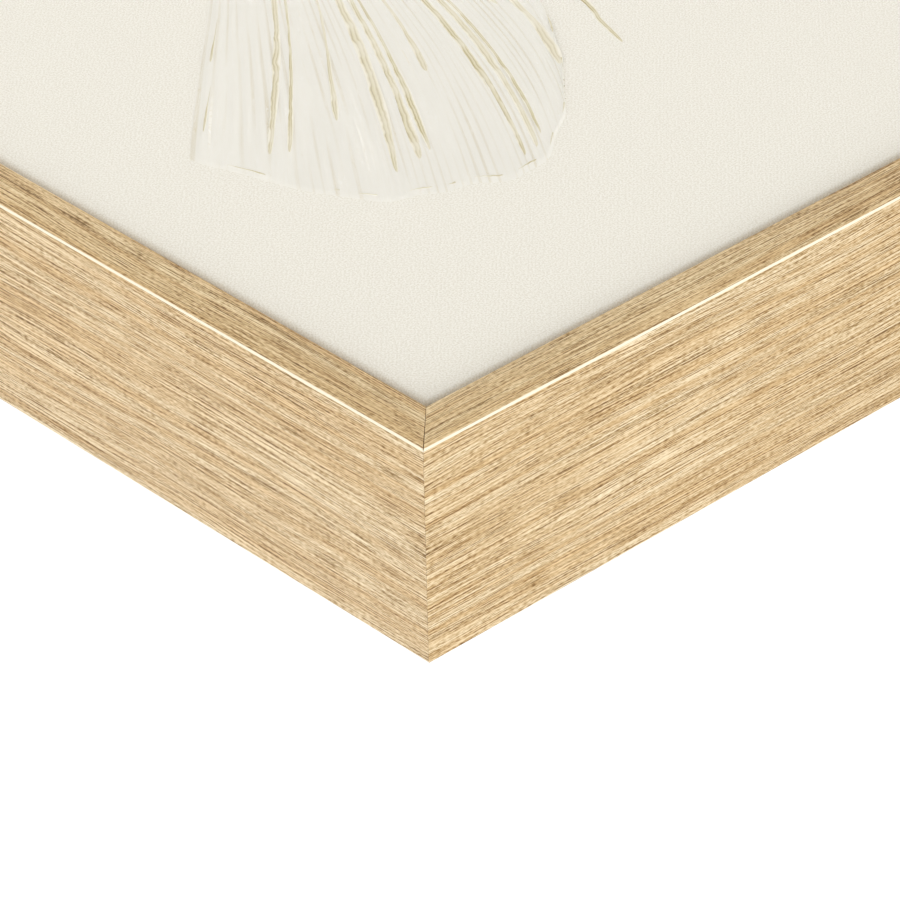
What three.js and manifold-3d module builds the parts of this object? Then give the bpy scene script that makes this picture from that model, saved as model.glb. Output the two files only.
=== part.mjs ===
// A floating frame (floater frame): an oak-foil L-section moulding, mitred and V-nailed, that holds a
// stretched canvas away from its inner wall so that a narrow shadow gap runs all round the picture.
// Millimetres, +Z up. The frame stands upright, its front faces -Y, and the origin is the centre of
// the underside of its box. Depths are measured backwards from the front edge of the moulding.
import * as THREE from "three";
import { mergeVertices } from "three/addons/utils/BufferGeometryUtils.js";
import Module from "manifold-3d";

// ---- Driving dimensions -------------------------------------------------------------------------

// The picture: a stretched canvas, measured over its cloth.
const CANVAS_WIDTH = 400;
const CANVAS_HEIGHT = 500;
const CLOTH = 0.45;
const CLOTH_FLAP = 30;

// The moulding: an L, with a wall at the outside and a ledge behind the canvas.
const RAIL_DEPTH = 45;
const WALL = 10;
const LEDGE_THICKNESS = 9.6;
const LEDGE_REACH = 20;
const ARRIS = 0.5;
const SHADOW_GAP = 3;
const MITRE_GAP = 0.16;

// The stretcher bars: outer bead, sloped front, and a tongue and a slot at each end.
const BAR_WIDTH = 38;
const BAR_DEPTH = 32;
const BEAD_WIDTH = 5;
const BAR_FALL = 3;
const TONGUE = 4.7;
const FRONT_LIP = 9;
const MIDDLE_LIP = 4;
const TONGUE_CLEARANCE = 0.15;
const BAR_MITRE_GAP = 0.3;

// The keys: thin wedges in the slots, two in each corner.
const KEY_LENGTH = 37;
const KEY_INSERTED = 25;
const KEY_TIP = 6;
const KEY_HEAD = 14;
const KEY_EDGE_CLEARANCE = 0.15;
const KEY_FACE_CLEARANCE = 0.3;

// V-nails across the back of each mitre.
const V_NAIL_WING = 6;
const V_NAIL_SHEET = 0.8;
const V_NAIL_DEPTH = 7;
const V_NAIL_OUTER_INSET = 8.2;
const V_NAIL_INNER_INSET = 21;
const V_NAIL_CLEARANCE = 0.12;

// Pan-head screws: the long ones fix the canvas, the short ones hold the hangers.
const SCREW_SHANK = 3.5;
const SCREW_HEAD = 7;
const SCREW_HEAD_HEIGHT = 2.4;
const SCREW_RECESS = 1.3;
const SCREW_CLEARANCE = 0.15;
const FIXING_SCREW_LENGTH = 25;
const FIXING_SCREW_INTO_BAR = 10;
const SCREW_TIP_COVER = 2;
const SCREW_TIP_ROOM = 1;

// Hanger straps and D-rings on the back of the side rails.
const STRAP_WIDTH = 12;
const STRAP_LENGTH = 44;
const STRAP_THICKNESS = 2;
const STRAP_LOOP_WALL = 1;
const HANGER_DROP = 175;
const RING_WIRE = 2.4;
const RING_WIDTH = 22;
const RING_HEIGHT = 17;
const RING_CORNER = 2.6;
const RING_CLEARANCE = 0.2;
const RING_REST_CLEARANCE = 0.35;

// Rubber bumpers behind the bottom rail.
const BUMPER_WIDTH = 11;
const BUMPER_HEIGHT = 5.5;
const BUMPER_INSET = 15;

// Hairline between two pieces that rest on each other, and how far a cut runs past a face.
const SEAT = 0.03;
const OVERRUN = 1;

// ---- Sizes that follow --------------------------------------------------------------------------

const FRAME_WIDTH = CANVAS_WIDTH + 2 * (SHADOW_GAP + WALL);
const FRAME_HEIGHT = CANVAS_HEIGHT + 2 * (SHADOW_GAP + WALL);
const BACK_WIDTH = WALL + LEDGE_REACH;
const CANVAS_DEPTH = CLOTH + SEAT + BAR_DEPTH + SEAT + CLOTH;
const LEDGE_FRONT = RAIL_DEPTH - LEDGE_THICKNESS;
const CANVAS_BACK = LEDGE_FRONT - SEAT;
const CANVAS_FRONT = CANVAS_BACK - CANVAS_DEPTH;
const BAR_FRONT = CANVAS_FRONT + CLOTH + SEAT;
const BAR_INSET = CLOTH + SEAT;
const BAR_SPAN_WIDTH = CANVAS_WIDTH - 2 * BAR_INSET;
const BAR_SPAN_HEIGHT = CANVAS_HEIGHT - 2 * BAR_INSET;
const KEY_SLOT = TONGUE + 2 * TONGUE_CLEARANCE;
const KEY_THICKNESS = KEY_SLOT - 2 * KEY_FACE_CLEARANCE;
const KEY_SLOPE = (KEY_HEAD - KEY_TIP) / KEY_LENGTH;
const KEY_AT_MOUTH = KEY_TIP + KEY_SLOPE * KEY_INSERTED;
const SCREW_HOLE = SCREW_SHANK / 2 + SCREW_CLEARANCE;
const SCREW_INWARDS = WALL + SHADOW_GAP + FIXING_SCREW_INTO_BAR;
const STRAP_SCREW_LENGTH = STRAP_THICKNESS + LEDGE_THICKNESS - SCREW_TIP_COVER;
const STRAP_SCREW_DROPS = [RING_HEIGHT + SCREW_HEAD / 2, STRAP_LENGTH - STRAP_WIDTH / 2];
const RING_RADIUS = RING_WIRE / 2;
const RING_TALL = RING_HEIGHT - RING_WIRE;
const LOOP_BORE = RING_RADIUS + RING_CLEARANCE;
const LOOP_RADIUS = LOOP_BORE + STRAP_LOOP_WALL;
const RING_REST_RISE = STRAP_THICKNESS + RING_RADIUS + RING_REST_CLEARANCE - LOOP_RADIUS;
const RING_REST_TILT = Math.asin(RING_REST_RISE / RING_TALL);
const RING_PROUD = LOOP_RADIUS + RING_REST_RISE + RING_RADIUS;
const STRAP_SCREW_PROUD = STRAP_THICKNESS + SEAT + SCREW_HEAD_HEIGHT;
const HARDWARE_PROUD = SEAT + Math.max(BUMPER_HEIGHT, RING_PROUD, 2 * LOOP_RADIUS, STRAP_SCREW_PROUD);
const FRONT_Y = -(RAIL_DEPTH + HARDWARE_PROUD) / 2;
const BACK_Y = FRONT_Y + RAIL_DEPTH;

const wasm = await Module();
wasm.setup();

// ---- Materials ----------------------------------------------------------------------------------

const finish = (color, roughness, metalness) =>
  new THREE.MeshStandardMaterial({ color, roughness, metalness });
const OAK_FOIL = finish("#d8bd92", 0.55, 0);
const PINE = finish("#e2c79a", 0.7, 0);
const BEECH = finish("#cfa878", 0.65, 0);
const CLOTH_PRIMED = finish("#ece8dd", 0.9, 0);
const ZINC = finish("#b9bcc0", 0.35, 1);
const STEEL = finish("#8f9296", 0.4, 1);
const RUBBER = finish("#3a3a3c", 0.8, 0);

const group = new THREE.Group();

function addMesh(parent, name, geometry, material) {
  const mesh = new THREE.Mesh(geometry, material);
  mesh.name = name;
  parent.add(mesh);
  return mesh;
}

// ---- Geometry helpers ---------------------------------------------------------------------------

function toSolid(geometry) {
  const bare = geometry.index ? geometry.toNonIndexed() : geometry.clone();
  bare.deleteAttribute("normal");
  bare.deleteAttribute("uv");
  const merged = mergeVertices(bare, 1e-4);
  const vertProperties = merged.attributes.position.array;
  const triVerts = new Uint32Array(merged.index.array);
  return new wasm.Manifold(new wasm.Mesh({ numProp: 3, vertProperties, triVerts }));
}

function toGeometry(solid) {
  const mesh = solid.getMesh();
  const geometry = new THREE.BufferGeometry();
  geometry.setAttribute("position", new THREE.BufferAttribute(mesh.vertProperties, 3));
  geometry.setIndex(new THREE.BufferAttribute(mesh.triVerts, 1));
  geometry.computeVertexNormals();
  return geometry;
}

// A box from its lowest and highest corners.
function box(low, high) {
  const size = high.map((value, axis) => value - low[axis]);
  const geometry = new THREE.BoxGeometry(...size);
  return geometry.translate(low[0] + size[0] / 2, low[1] + size[1] / 2, low[2] + size[2] / 2);
}

// A flat outline in X and Z, made thick in Y from front to back.
function plate(outline, front, back) {
  const shape = new THREE.Shape(outline.map(([x, z]) => new THREE.Vector2(x, z)));
  const geometry = new THREE.ExtrudeGeometry(shape, { depth: back - front, bevelEnabled: false });
  return geometry.rotateX(Math.PI / 2).translate(0, back, 0);
}

// Points along an arc of an ellipse.
function arc(centre, radii, from, to, steps) {
  const points = [];
  for (let step = 0; step <= steps; step++) {
    const angle = from + ((to - from) * step) / steps;
    points.push([centre[0] + radii[0] * Math.cos(angle), centre[1] + radii[1] * Math.sin(angle)]);
  }
  return points;
}

// A turned piece on the Y axis: its profile runs from the axis to the axis as [radius, y].
function turned(profile, segments) {
  const points = profile.map(([radius, y]) => new THREE.Vector2(radius, y));
  return new THREE.LatheGeometry(points, segments);
}

// A straight moulding with a mitre at both ends. The section is [distance in from the outer edge,
// depth]; the outer edge is at z = 0 and is spanned wide, and the piece lies below it.
function mitredBar(section, span, gap) {
  const count = section.length;
  const positions = [];
  for (const side of [-1, 1]) {
    for (const [inwards, depth] of section) {
      positions.push(side * (span / 2 - inwards - gap / Math.SQRT2), depth, -inwards);
    }
  }
  const index = [];
  for (let i = 0; i < count; i++) {
    const next = (i + 1) % count;
    index.push(i, next, count + i, next, count + next, count + i);
  }
  const outline = section.map(([inwards, depth]) => new THREE.Vector2(inwards, depth));
  for (const [a, b, c] of THREE.ShapeUtils.triangulateShape(outline, [])) {
    index.push(a, c, b, count + a, count + b, count + c);
  }
  const geometry = new THREE.BufferGeometry();
  geometry.setAttribute("position", new THREE.Float32BufferAttribute(positions, 3));
  geometry.setIndex(index);
  return geometry;
}

// The four sides of the frame, with the turn that brings a bar from the top to its place.
const SIDES = [
  { name: "top", turn: 0, across: true },
  { name: "right", turn: Math.PI / 2, across: false },
  { name: "bottom", turn: Math.PI, across: true },
  { name: "left", turn: -Math.PI / 2, across: false },
];

// A group whose own z = 0 is the outer edge of one side of a centred rectangle.
function sideGroup(side, width, height) {
  const holder = new THREE.Group();
  holder.position.set(0, FRONT_Y, FRAME_HEIGHT / 2);
  holder.rotation.y = side.turn;
  const edge = new THREE.Group();
  edge.position.z = (side.across ? height : width) / 2;
  holder.add(edge);
  group.add(holder);
  return edge;
}

// Where a screw of one side sits along that side.
const SCREW_PLACES = [-1, 1];
const screwAlong = (side, place) => (place * (side.across ? CANVAS_WIDTH : CANVAS_HEIGHT)) / 4;

// A screw's hole along Y.
function screwHole(front, back, x, z) {
  const geometry = new THREE.CylinderGeometry(SCREW_HOLE, SCREW_HOLE, back - front, 16);
  return toSolid(geometry.translate(x, (front + back) / 2, z));
}

// ---- Screws -------------------------------------------------------------------------------------

// A pan-head screw with its seat at y = 0, its shank towards -Y and a square recess in its head.
function screwGeometry(length) {
  const shank = SCREW_SHANK / 2;
  const head = SCREW_HEAD / 2;
  const solid = toSolid(
    turned(
      [
        [0, -length],
        [shank, 2 * shank - length],
        [shank, 0],
        [head, 0],
        [head, SCREW_HEAD_HEIGHT * 0.4],
        [head * 0.78, SCREW_HEAD_HEIGHT * 0.86],
        [head * 0.4, SCREW_HEAD_HEIGHT],
        [0, SCREW_HEAD_HEIGHT],
      ],
      16,
    ),
  );
  const half = SCREW_HEAD * 0.16;
  const floor = SCREW_HEAD_HEIGHT - SCREW_RECESS;
  const recess = toSolid(box([-half, floor, -half], [half, SCREW_HEAD_HEIGHT + OVERRUN, half]));
  return toGeometry(solid.subtract(recess));
}

// ---- Moulding rails -----------------------------------------------------------------------------

const RAIL_SECTION = [
  [ARRIS, 0],
  [WALL - ARRIS / 2, 0],
  [WALL, ARRIS / 2],
  [WALL, LEDGE_FRONT],
  [BACK_WIDTH, LEDGE_FRONT],
  [BACK_WIDTH, RAIL_DEPTH],
  [0, RAIL_DEPTH],
  [0, ARRIS],
];

// The outline of a V-nail: its apex is on the mitre and its wings open towards the outer corner.
// x and z are measured from the corner; grow widens it all round for its slot.
function vNailOutline(inset, grow) {
  const near = -inset - V_NAIL_SHEET / 2 - grow;
  const inner = -inset + V_NAIL_SHEET / 2 + grow;
  const tip = -inset + V_NAIL_WING + grow;
  return [
    [near, near],
    [tip, near],
    [tip, inner],
    [inner, inner],
    [inner, tip],
    [near, tip],
  ];
}

function vNailSlot(inset, halfSpan, mirror) {
  const front = RAIL_DEPTH - V_NAIL_DEPTH - V_NAIL_CLEARANCE;
  const slot = plate(vNailOutline(inset, V_NAIL_CLEARANCE), front, RAIL_DEPTH + OVERRUN);
  const placed = toSolid(slot.translate(halfSpan, 0, 0));
  return mirror ? placed.mirror([1, 0, 0]) : placed;
}

// The pilot holes of a side rail's hanger. The rail's own +X runs down on the right, up on the left.
function hangerHoles(side) {
  const upwards = side.name === "right" ? -1 : 1;
  const floor = RAIL_DEPTH + STRAP_THICKNESS - STRAP_SCREW_LENGTH - SCREW_TIP_ROOM;
  return STRAP_SCREW_DROPS.map((drop) => {
    const along = upwards * (FRAME_HEIGHT / 2 - HANGER_DROP - drop);
    return screwHole(floor, RAIL_DEPTH + OVERRUN, along, -BACK_WIDTH / 2);
  });
}

for (const side of SIDES) {
  const span = side.across ? FRAME_WIDTH : FRAME_HEIGHT;
  let rail = toSolid(mitredBar(RAIL_SECTION, span, MITRE_GAP));
  for (const inset of [V_NAIL_OUTER_INSET, V_NAIL_INNER_INSET]) {
    rail = rail.subtract(vNailSlot(inset, span / 2, false));
    rail = rail.subtract(vNailSlot(inset, span / 2, true));
  }
  for (const place of SCREW_PLACES) {
    const along = screwAlong(side, place);
    rail = rail.subtract(screwHole(LEDGE_FRONT - OVERRUN, RAIL_DEPTH + OVERRUN, along, -SCREW_INWARDS));
  }
  if (!side.across) {
    for (const pilot of hangerHoles(side)) {
      rail = rail.subtract(pilot);
    }
  }
  const edge = sideGroup(side, FRAME_WIDTH, FRAME_HEIGHT);
  addMesh(edge, "rail_" + side.name, toGeometry(rail), OAK_FOIL);
}

// ---- V-nails ------------------------------------------------------------------------------------

const CORNERS = [
  { name: "top_right", right: 1, up: 1 },
  { name: "bottom_right", right: 1, up: -1 },
  { name: "bottom_left", right: -1, up: -1 },
  { name: "top_left", right: -1, up: 1 },
];
const V_NAILS = [
  ["outer", V_NAIL_OUTER_INSET],
  ["inner", V_NAIL_INNER_INSET],
];

for (const corner of CORNERS) {
  for (const [place, inset] of V_NAILS) {
    const outline = vNailOutline(inset, 0).map(([x, z]) => [corner.right * x, corner.up * z]);
    const geometry = plate(outline, RAIL_DEPTH - V_NAIL_DEPTH, RAIL_DEPTH - V_NAIL_CLEARANCE);
    const nail = addMesh(group, "v_nail_" + corner.name + "_" + place, geometry, STEEL);
    const height = corner.up > 0 ? FRAME_HEIGHT : 0;
    nail.position.set((corner.right * FRAME_WIDTH) / 2, FRONT_Y, height);
  }
}

// ---- Stretcher bars -----------------------------------------------------------------------------

const BAR_SECTION = [
  [0, 0],
  [BEAD_WIDTH, 0],
  [BAR_WIDTH, BAR_FALL],
  [BAR_WIDTH, BAR_DEPTH],
  [0, BAR_DEPTH],
];

// The two slot layers, as depths below the bar's front: one holds the neighbour's tongue at the
// bar's right end, the other at its left end.
const SLOT_FRONT = [FRONT_LIP, FRONT_LIP + KEY_SLOT + MIDDLE_LIP];

// A key's outline, pushed home, as [distance into the bar from its inner edge, distance away from
// the corner]. Its straight edge bears on the neighbour's tongue and its other edge tapers.
function keyOutline() {
  const head = KEY_INSERTED - KEY_LENGTH;
  return [
    [head, KEY_HEAD],
    [KEY_INSERTED, KEY_TIP],
    [KEY_INSERTED, 0],
    [head, 0],
  ];
}

// The slot at the right end of a bar: the neighbour's tongue and a key share it.
function barSlot(span, front) {
  const end = span / 2 + OVERRUN;
  const inner = span / 2 - BAR_WIDTH;
  const below = -BAR_WIDTH - OVERRUN;
  const floor = -BAR_WIDTH + KEY_INSERTED + KEY_EDGE_CLEARANCE;
  const tip = KEY_TIP + 2 * KEY_EDGE_CLEARANCE;
  const mouth = KEY_AT_MOUTH + 2 * KEY_EDGE_CLEARANCE + KEY_SLOPE * OVERRUN;
  const outline = [
    [end, OVERRUN],
    [inner, OVERRUN],
    [inner, floor],
    [inner - tip, floor],
    [inner - mouth, below],
    [end, below],
  ];
  return toSolid(plate(outline, front, front + KEY_SLOT));
}

// The tongue at the right end of a bar: the whole corner square, a little short of the outer face.
function barTongue(span, front) {
  const end = span / 2;
  const root = end - 2 * BAR_WIDTH;
  const low = [root, front + TONGUE_CLEARANCE, -BAR_WIDTH + TONGUE_CLEARANCE];
  const high = [end - TONGUE_CLEARANCE, front + TONGUE_CLEARANCE + TONGUE, -TONGUE_CLEARANCE];
  return toSolid(box(low, high));
}

for (const side of SIDES) {
  const span = side.across ? BAR_SPAN_WIDTH : BAR_SPAN_HEIGHT;
  let bar = toSolid(mitredBar(BAR_SECTION, span, BAR_MITRE_GAP));
  bar = bar.subtract(barSlot(span, SLOT_FRONT[0]));
  bar = bar.subtract(barSlot(span, SLOT_FRONT[1]).mirror([1, 0, 0]));
  bar = bar.add(barTongue(span, SLOT_FRONT[1]));
  bar = bar.add(barTongue(span, SLOT_FRONT[0]).mirror([1, 0, 0]));
  const floor = BAR_DEPTH - (FIXING_SCREW_LENGTH - LEDGE_THICKNESS - CLOTH) - SCREW_TIP_ROOM;
  for (const place of SCREW_PLACES) {
    const along = screwAlong(side, place);
    const inwards = FIXING_SCREW_INTO_BAR - BAR_INSET;
    bar = bar.subtract(screwHole(floor, BAR_DEPTH + OVERRUN, along, -inwards));
  }
  const edge = sideGroup(side, BAR_SPAN_WIDTH, BAR_SPAN_HEIGHT);
  const mesh = addMesh(edge, "stretcher_" + side.name, toGeometry(bar), PINE);
  mesh.position.y = BAR_FRONT;
}

// ---- Keys ---------------------------------------------------------------------------------------

// Each bar's slots hold one key each. The key slides along the neighbour's inner edge.
const CORNER_AFTER = { top: "top_right", right: "bottom_right", bottom: "bottom_left", left: "top_left" };
const CORNER_BEFORE = { top: "top_left", right: "top_right", bottom: "bottom_right", left: "bottom_left" };

for (const side of SIDES) {
  const span = side.across ? BAR_SPAN_WIDTH : BAR_SPAN_HEIGHT;
  const inner = span / 2 - BAR_WIDTH;
  for (const [layer, hand] of [[0, 1], [1, -1]]) {
    const outline = keyOutline().map(([into, away]) => {
      return [hand * (inner - away - KEY_EDGE_CLEARANCE), into - BAR_WIDTH];
    });
    const front = SLOT_FRONT[layer] + KEY_FACE_CLEARANCE;
    const geometry = plate(outline, front, front + KEY_THICKNESS);
    const corner = hand > 0 ? CORNER_AFTER[side.name] : CORNER_BEFORE[side.name];
    const way = side.across ? "upright" : "across";
    const edge = sideGroup(side, BAR_SPAN_WIDTH, BAR_SPAN_HEIGHT);
    const key = addMesh(edge, "key_" + corner + "_" + way, geometry, BEECH);
    key.position.y = BAR_FRONT;
  }
}

// ---- Canvas -------------------------------------------------------------------------------------

// The cloth: a tray over the bars' front and sides, with flaps folded over their back. The fixing
// screws pass through the flaps.
const UPRIGHT_AXIS = new THREE.Vector3(0, 1, 0);
const outerX = CANVAS_WIDTH / 2;
const outerZ = CANVAS_HEIGHT / 2;
let cloth = toSolid(box([-outerX, CANVAS_FRONT, -outerZ], [outerX, CANVAS_BACK, outerZ]));
cloth = cloth.subtract(
  toSolid(
    box(
      [CLOTH - outerX, CANVAS_FRONT + CLOTH, CLOTH - outerZ],
      [outerX - CLOTH, CANVAS_BACK - CLOTH, outerZ - CLOTH],
    ),
  ),
);
cloth = cloth.subtract(
  toSolid(
    box(
      [CLOTH_FLAP - outerX, CANVAS_BACK - CLOTH - OVERRUN, CLOTH_FLAP - outerZ],
      [outerX - CLOTH_FLAP, CANVAS_BACK + OVERRUN, outerZ - CLOTH_FLAP],
    ),
  ),
);
for (const side of SIDES) {
  for (const place of SCREW_PLACES) {
    const along = screwAlong(side, place);
    const out = (side.across ? outerZ : outerX) - FIXING_SCREW_INTO_BAR;
    const spot = new THREE.Vector3(along, 0, out).applyAxisAngle(UPRIGHT_AXIS, side.turn);
    const front = CANVAS_BACK - CLOTH - OVERRUN;
    cloth = cloth.subtract(screwHole(front, CANVAS_BACK + OVERRUN, spot.x, spot.z));
  }
}
addMesh(group, "canvas", toGeometry(cloth), CLOTH_PRIMED).position.set(0, FRONT_Y, FRAME_HEIGHT / 2);

// ---- Fixing screws ------------------------------------------------------------------------------

for (const side of SIDES) {
  SCREW_PLACES.forEach((place, number) => {
    const edge = sideGroup(side, FRAME_WIDTH, FRAME_HEIGHT);
    const name = "fixing_screw_" + side.name + "_" + (number + 1);
    const screw = addMesh(edge, name, screwGeometry(FIXING_SCREW_LENGTH), ZINC);
    screw.position.set(screwAlong(side, place), RAIL_DEPTH + SEAT, -SCREW_INWARDS);
  });
}

// ---- Hangers ------------------------------------------------------------------------------------

// The strap: sheet folded round the ring's bar, lying against the rail and screwed through both
// layers. Its loop is on the X axis and the strap hangs below it with a round end.
function strapGeometry() {
  const half = STRAP_WIDTH / 2;
  const loop = new THREE.CylinderGeometry(LOOP_RADIUS, LOOP_RADIUS, STRAP_WIDTH, 24);
  loop.rotateZ(Math.PI / 2).translate(0, LOOP_RADIUS, 0);
  const bore = new THREE.CylinderGeometry(LOOP_BORE, LOOP_BORE, STRAP_WIDTH + 2 * OVERRUN, 24);
  bore.rotateZ(Math.PI / 2).translate(0, LOOP_RADIUS, 0);
  const roundEnd = arc([0, half - STRAP_LENGTH], [half, half], -Math.PI, 0, 12);
  const strip = toSolid(plate([[-half, 0], ...roundEnd, [half, 0]], 0, STRAP_THICKNESS));
  let strap = strip.add(toSolid(loop)).subtract(toSolid(bore));
  for (const drop of STRAP_SCREW_DROPS) {
    strap = strap.subtract(screwHole(-OVERRUN, STRAP_THICKNESS + OVERRUN, 0, -drop));
  }
  return toGeometry(strap);
}

// The D-ring: round wire swept along a closed D that hangs from its straight bar on the X axis.
function ringGeometry() {
  const halfWide = (RING_WIDTH - RING_WIRE) / 2;
  const corner = [RING_CORNER, RING_CORNER];
  const shoulder = halfWide - RING_CORNER;
  const bow = arc([0, -RING_CORNER], [halfWide, RING_TALL - RING_CORNER], 0, -Math.PI, 14);
  const centre = [
    ...arc([shoulder, -RING_CORNER], corner, Math.PI / 2, 0, 3),
    ...bow.slice(1, -1),
    ...arc([-shoulder, -RING_CORNER], corner, Math.PI, Math.PI / 2, 3),
  ].map(([x, z]) => new THREE.Vector2(x, z));
  const sides = 10;
  const count = centre.length;
  const positions = [];
  centre.forEach((point, i) => {
    const before = centre[(i + count - 1) % count];
    const after = centre[(i + 1) % count];
    const along = after.clone().sub(before).normalize();
    for (let k = 0; k < sides; k++) {
      const angle = (2 * Math.PI * (k + 0.5)) / sides;
      const outwards = RING_RADIUS * Math.cos(angle);
      const rise = RING_RADIUS * Math.sin(angle);
      positions.push(point.x - along.y * outwards, rise, point.y + along.x * outwards);
    }
  });
  const index = [];
  for (let i = 0; i < count; i++) {
    for (let k = 0; k < sides; k++) {
      const a = i * sides + k;
      const b = i * sides + ((k + 1) % sides);
      const c = ((i + 1) % count) * sides + k;
      const d = ((i + 1) % count) * sides + ((k + 1) % sides);
      index.push(a, c, b, b, c, d);
    }
  }
  const geometry = new THREE.BufferGeometry();
  geometry.setAttribute("position", new THREE.Float32BufferAttribute(positions, 3));
  geometry.setIndex(index);
  return geometry;
}

for (const [name, hand] of [["left", -1], ["right", 1]]) {
  const x = hand * (FRAME_WIDTH / 2 - BACK_WIDTH / 2);
  const z = FRAME_HEIGHT - HANGER_DROP;
  const strap = addMesh(group, "hanger_strap_" + name, strapGeometry(), ZINC);
  strap.position.set(x, BACK_Y + SEAT, z);
  const ring = addMesh(group, "d_ring_" + name, ringGeometry(), ZINC);
  ring.position.set(x, BACK_Y + SEAT + LOOP_RADIUS, z);
  ring.rotation.x = RING_REST_TILT;
  STRAP_SCREW_DROPS.forEach((drop, number) => {
    const label = "strap_screw_" + name + "_" + (number + 1);
    const screw = addMesh(group, label, screwGeometry(STRAP_SCREW_LENGTH), ZINC);
    screw.position.set(x, BACK_Y + STRAP_THICKNESS + 2 * SEAT, z - drop);
  });
}

// ---- Bumpers ------------------------------------------------------------------------------------

for (const [name, hand] of [["left", -1], ["right", 1]]) {
  const radius = BUMPER_WIDTH / 2;
  const profile = [
    [0, 0],
    [radius, 0],
    [radius, BUMPER_HEIGHT * 0.35],
    [radius * 0.93, BUMPER_HEIGHT * 0.7],
    [radius * 0.75, BUMPER_HEIGHT],
    [0, BUMPER_HEIGHT],
  ];
  const bumper = addMesh(group, "bumper_" + name, turned(profile, 24), RUBBER);
  bumper.position.set(hand * (FRAME_WIDTH / 2 - BUMPER_INSET), BACK_Y + SEAT, BUMPER_INSET);
}

export default group;
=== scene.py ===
# A floating frame: a light oak floater moulding round a stretched canvas with a relief painting.
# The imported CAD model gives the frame's sizes and places; this script adds the finished pieces to it.
import contextlib
import math

import bmesh
import bpy
import numpy as np
from mathutils import Matrix, Vector


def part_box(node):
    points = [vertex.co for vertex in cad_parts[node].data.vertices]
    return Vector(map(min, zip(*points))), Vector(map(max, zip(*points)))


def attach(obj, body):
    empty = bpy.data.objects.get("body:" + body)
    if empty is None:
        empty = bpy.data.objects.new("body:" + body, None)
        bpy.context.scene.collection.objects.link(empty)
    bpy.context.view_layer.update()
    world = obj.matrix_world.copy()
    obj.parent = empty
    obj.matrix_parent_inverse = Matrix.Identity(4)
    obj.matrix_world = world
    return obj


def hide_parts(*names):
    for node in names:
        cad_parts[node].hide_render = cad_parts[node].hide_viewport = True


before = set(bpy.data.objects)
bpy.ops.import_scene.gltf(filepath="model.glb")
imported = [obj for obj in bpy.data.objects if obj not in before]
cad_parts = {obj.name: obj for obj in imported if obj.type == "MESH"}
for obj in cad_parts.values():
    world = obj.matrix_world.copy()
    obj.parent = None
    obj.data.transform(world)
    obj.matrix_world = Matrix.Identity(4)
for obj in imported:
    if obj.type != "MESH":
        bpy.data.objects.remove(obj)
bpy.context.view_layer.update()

# ---- Moulding rails ----
# Four lengths of floater moulding, an L in section. A softwood core is wrapped in printed light oak
# foil over its front, outside and inside; the back is left bare. The ends are sawn at 45 degrees.

MM = 0.001
WALL = 10 * MM
ARRIS_BEVEL = 0.12 * MM
BACK_BEVEL = 0.4 * MM
TIGHT_MITRE = 0.02 * MM
MITRE_CLOSING = 0.6  # how much of the open mitre has closed at the inside of the front edge
PITH = Vector((0, 28 * MM, 16 * MM))
PRINT_STEP = 0.13  # each rail is cut from another stretch of the printed foil
LONG_EDGE = 0.3  # only the edges that run along a rail are longer
FACING = 0.9  # a face whose normal has this much of a direction looks that way
SLANTED = 0.6
AT_FACE = 0.2 * MM
RAIL_CREASE = 30
WELD = 2e-6

rail_low, rail_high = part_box("rail_top")
FRONT_Y = rail_low[1]
BACK_Y = rail_high[1]
HEIGHT = rail_high[2]
HALF_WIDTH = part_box("rail_right")[1][0]
CENTRE = Vector((0, 0, HEIGHT / 2))
OPEN_MITRE = HALF_WIDTH - rail_high[0]

# The four sides: outwards and along each rail, and half the frame's size in the outward direction.
SIDES = {
    "top": (Vector((0, 0, 1)), Vector((1, 0, 0)), HEIGHT / 2),
    "right": (Vector((1, 0, 0)), Vector((0, 0, -1)), HALF_WIDTH),
    "bottom": (Vector((0, 0, -1)), Vector((-1, 0, 0)), HEIGHT / 2),
    "left": (Vector((-1, 0, 0)), Vector((0, 0, 1)), HALF_WIDTH),
}


def linear(code):
    """An sRGB hex colour as linear RGBA."""
    channels = [int(code[i : i + 2], 16) / 255 for i in (1, 3, 5)]
    return [c / 12.92 if c <= 0.04045 else ((c + 0.055) / 1.055) ** 2.4 for c in channels] + [1.0]


def feed(tree, node, inputs):
    """Sets a node's inputs, or links them to other nodes: to a named output, or to the first in use."""
    for key, value in inputs.items():
        if isinstance(value, bpy.types.Node):
            value = next(output for output in value.outputs if output.enabled)
        if isinstance(value, bpy.types.NodeSocket):
            tree.links.new(value, node.inputs[key])
        else:
            node.inputs[key].default_value = value


def add_node(tree, kind, inputs=None, **settings):
    """Adds a node with its properties and inputs."""
    node = tree.nodes.new(kind)
    for key, value in settings.items():
        setattr(node, key, value)
    feed(tree, node, inputs or {})
    return node


def set_ramp(ramp, stops):
    """Gives a colour ramp its stops, as [position, colour]."""
    elements = ramp.color_ramp.elements
    while len(elements) < len(stops):
        elements.new(1.0)
    for element, (position, colour) in zip(elements, stops):
        element.position = position
        element.color = linear(colour)


def new_material(name, **shader_values):
    """A material with one Principled shader, and the tree and shader to build on."""
    material = bpy.data.materials.new(name)
    material.use_nodes = True
    shader = material.node_tree.nodes["Principled BSDF"]
    for key, value in shader_values.items():
        shader.inputs[key.replace("_", " ").title()].default_value = value
    return material, material.node_tree, shader


def per_mm(*features):
    """Features per millimetre along each axis, as the scale of a pattern whose place is in metres."""
    return [count / MM for count in features]


def new_piece(name, vertices, faces):
    """A mesh object from plain vertices and faces, in metres in the frame's own axes."""
    mesh = bpy.data.meshes.new(name)
    mesh.from_pydata([tuple(v) for v in vertices], [], [tuple(f) for f in faces])
    mesh.update()
    piece = bpy.data.objects.new(name, mesh)
    bpy.context.scene.collection.objects.link(piece)
    return piece


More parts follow.
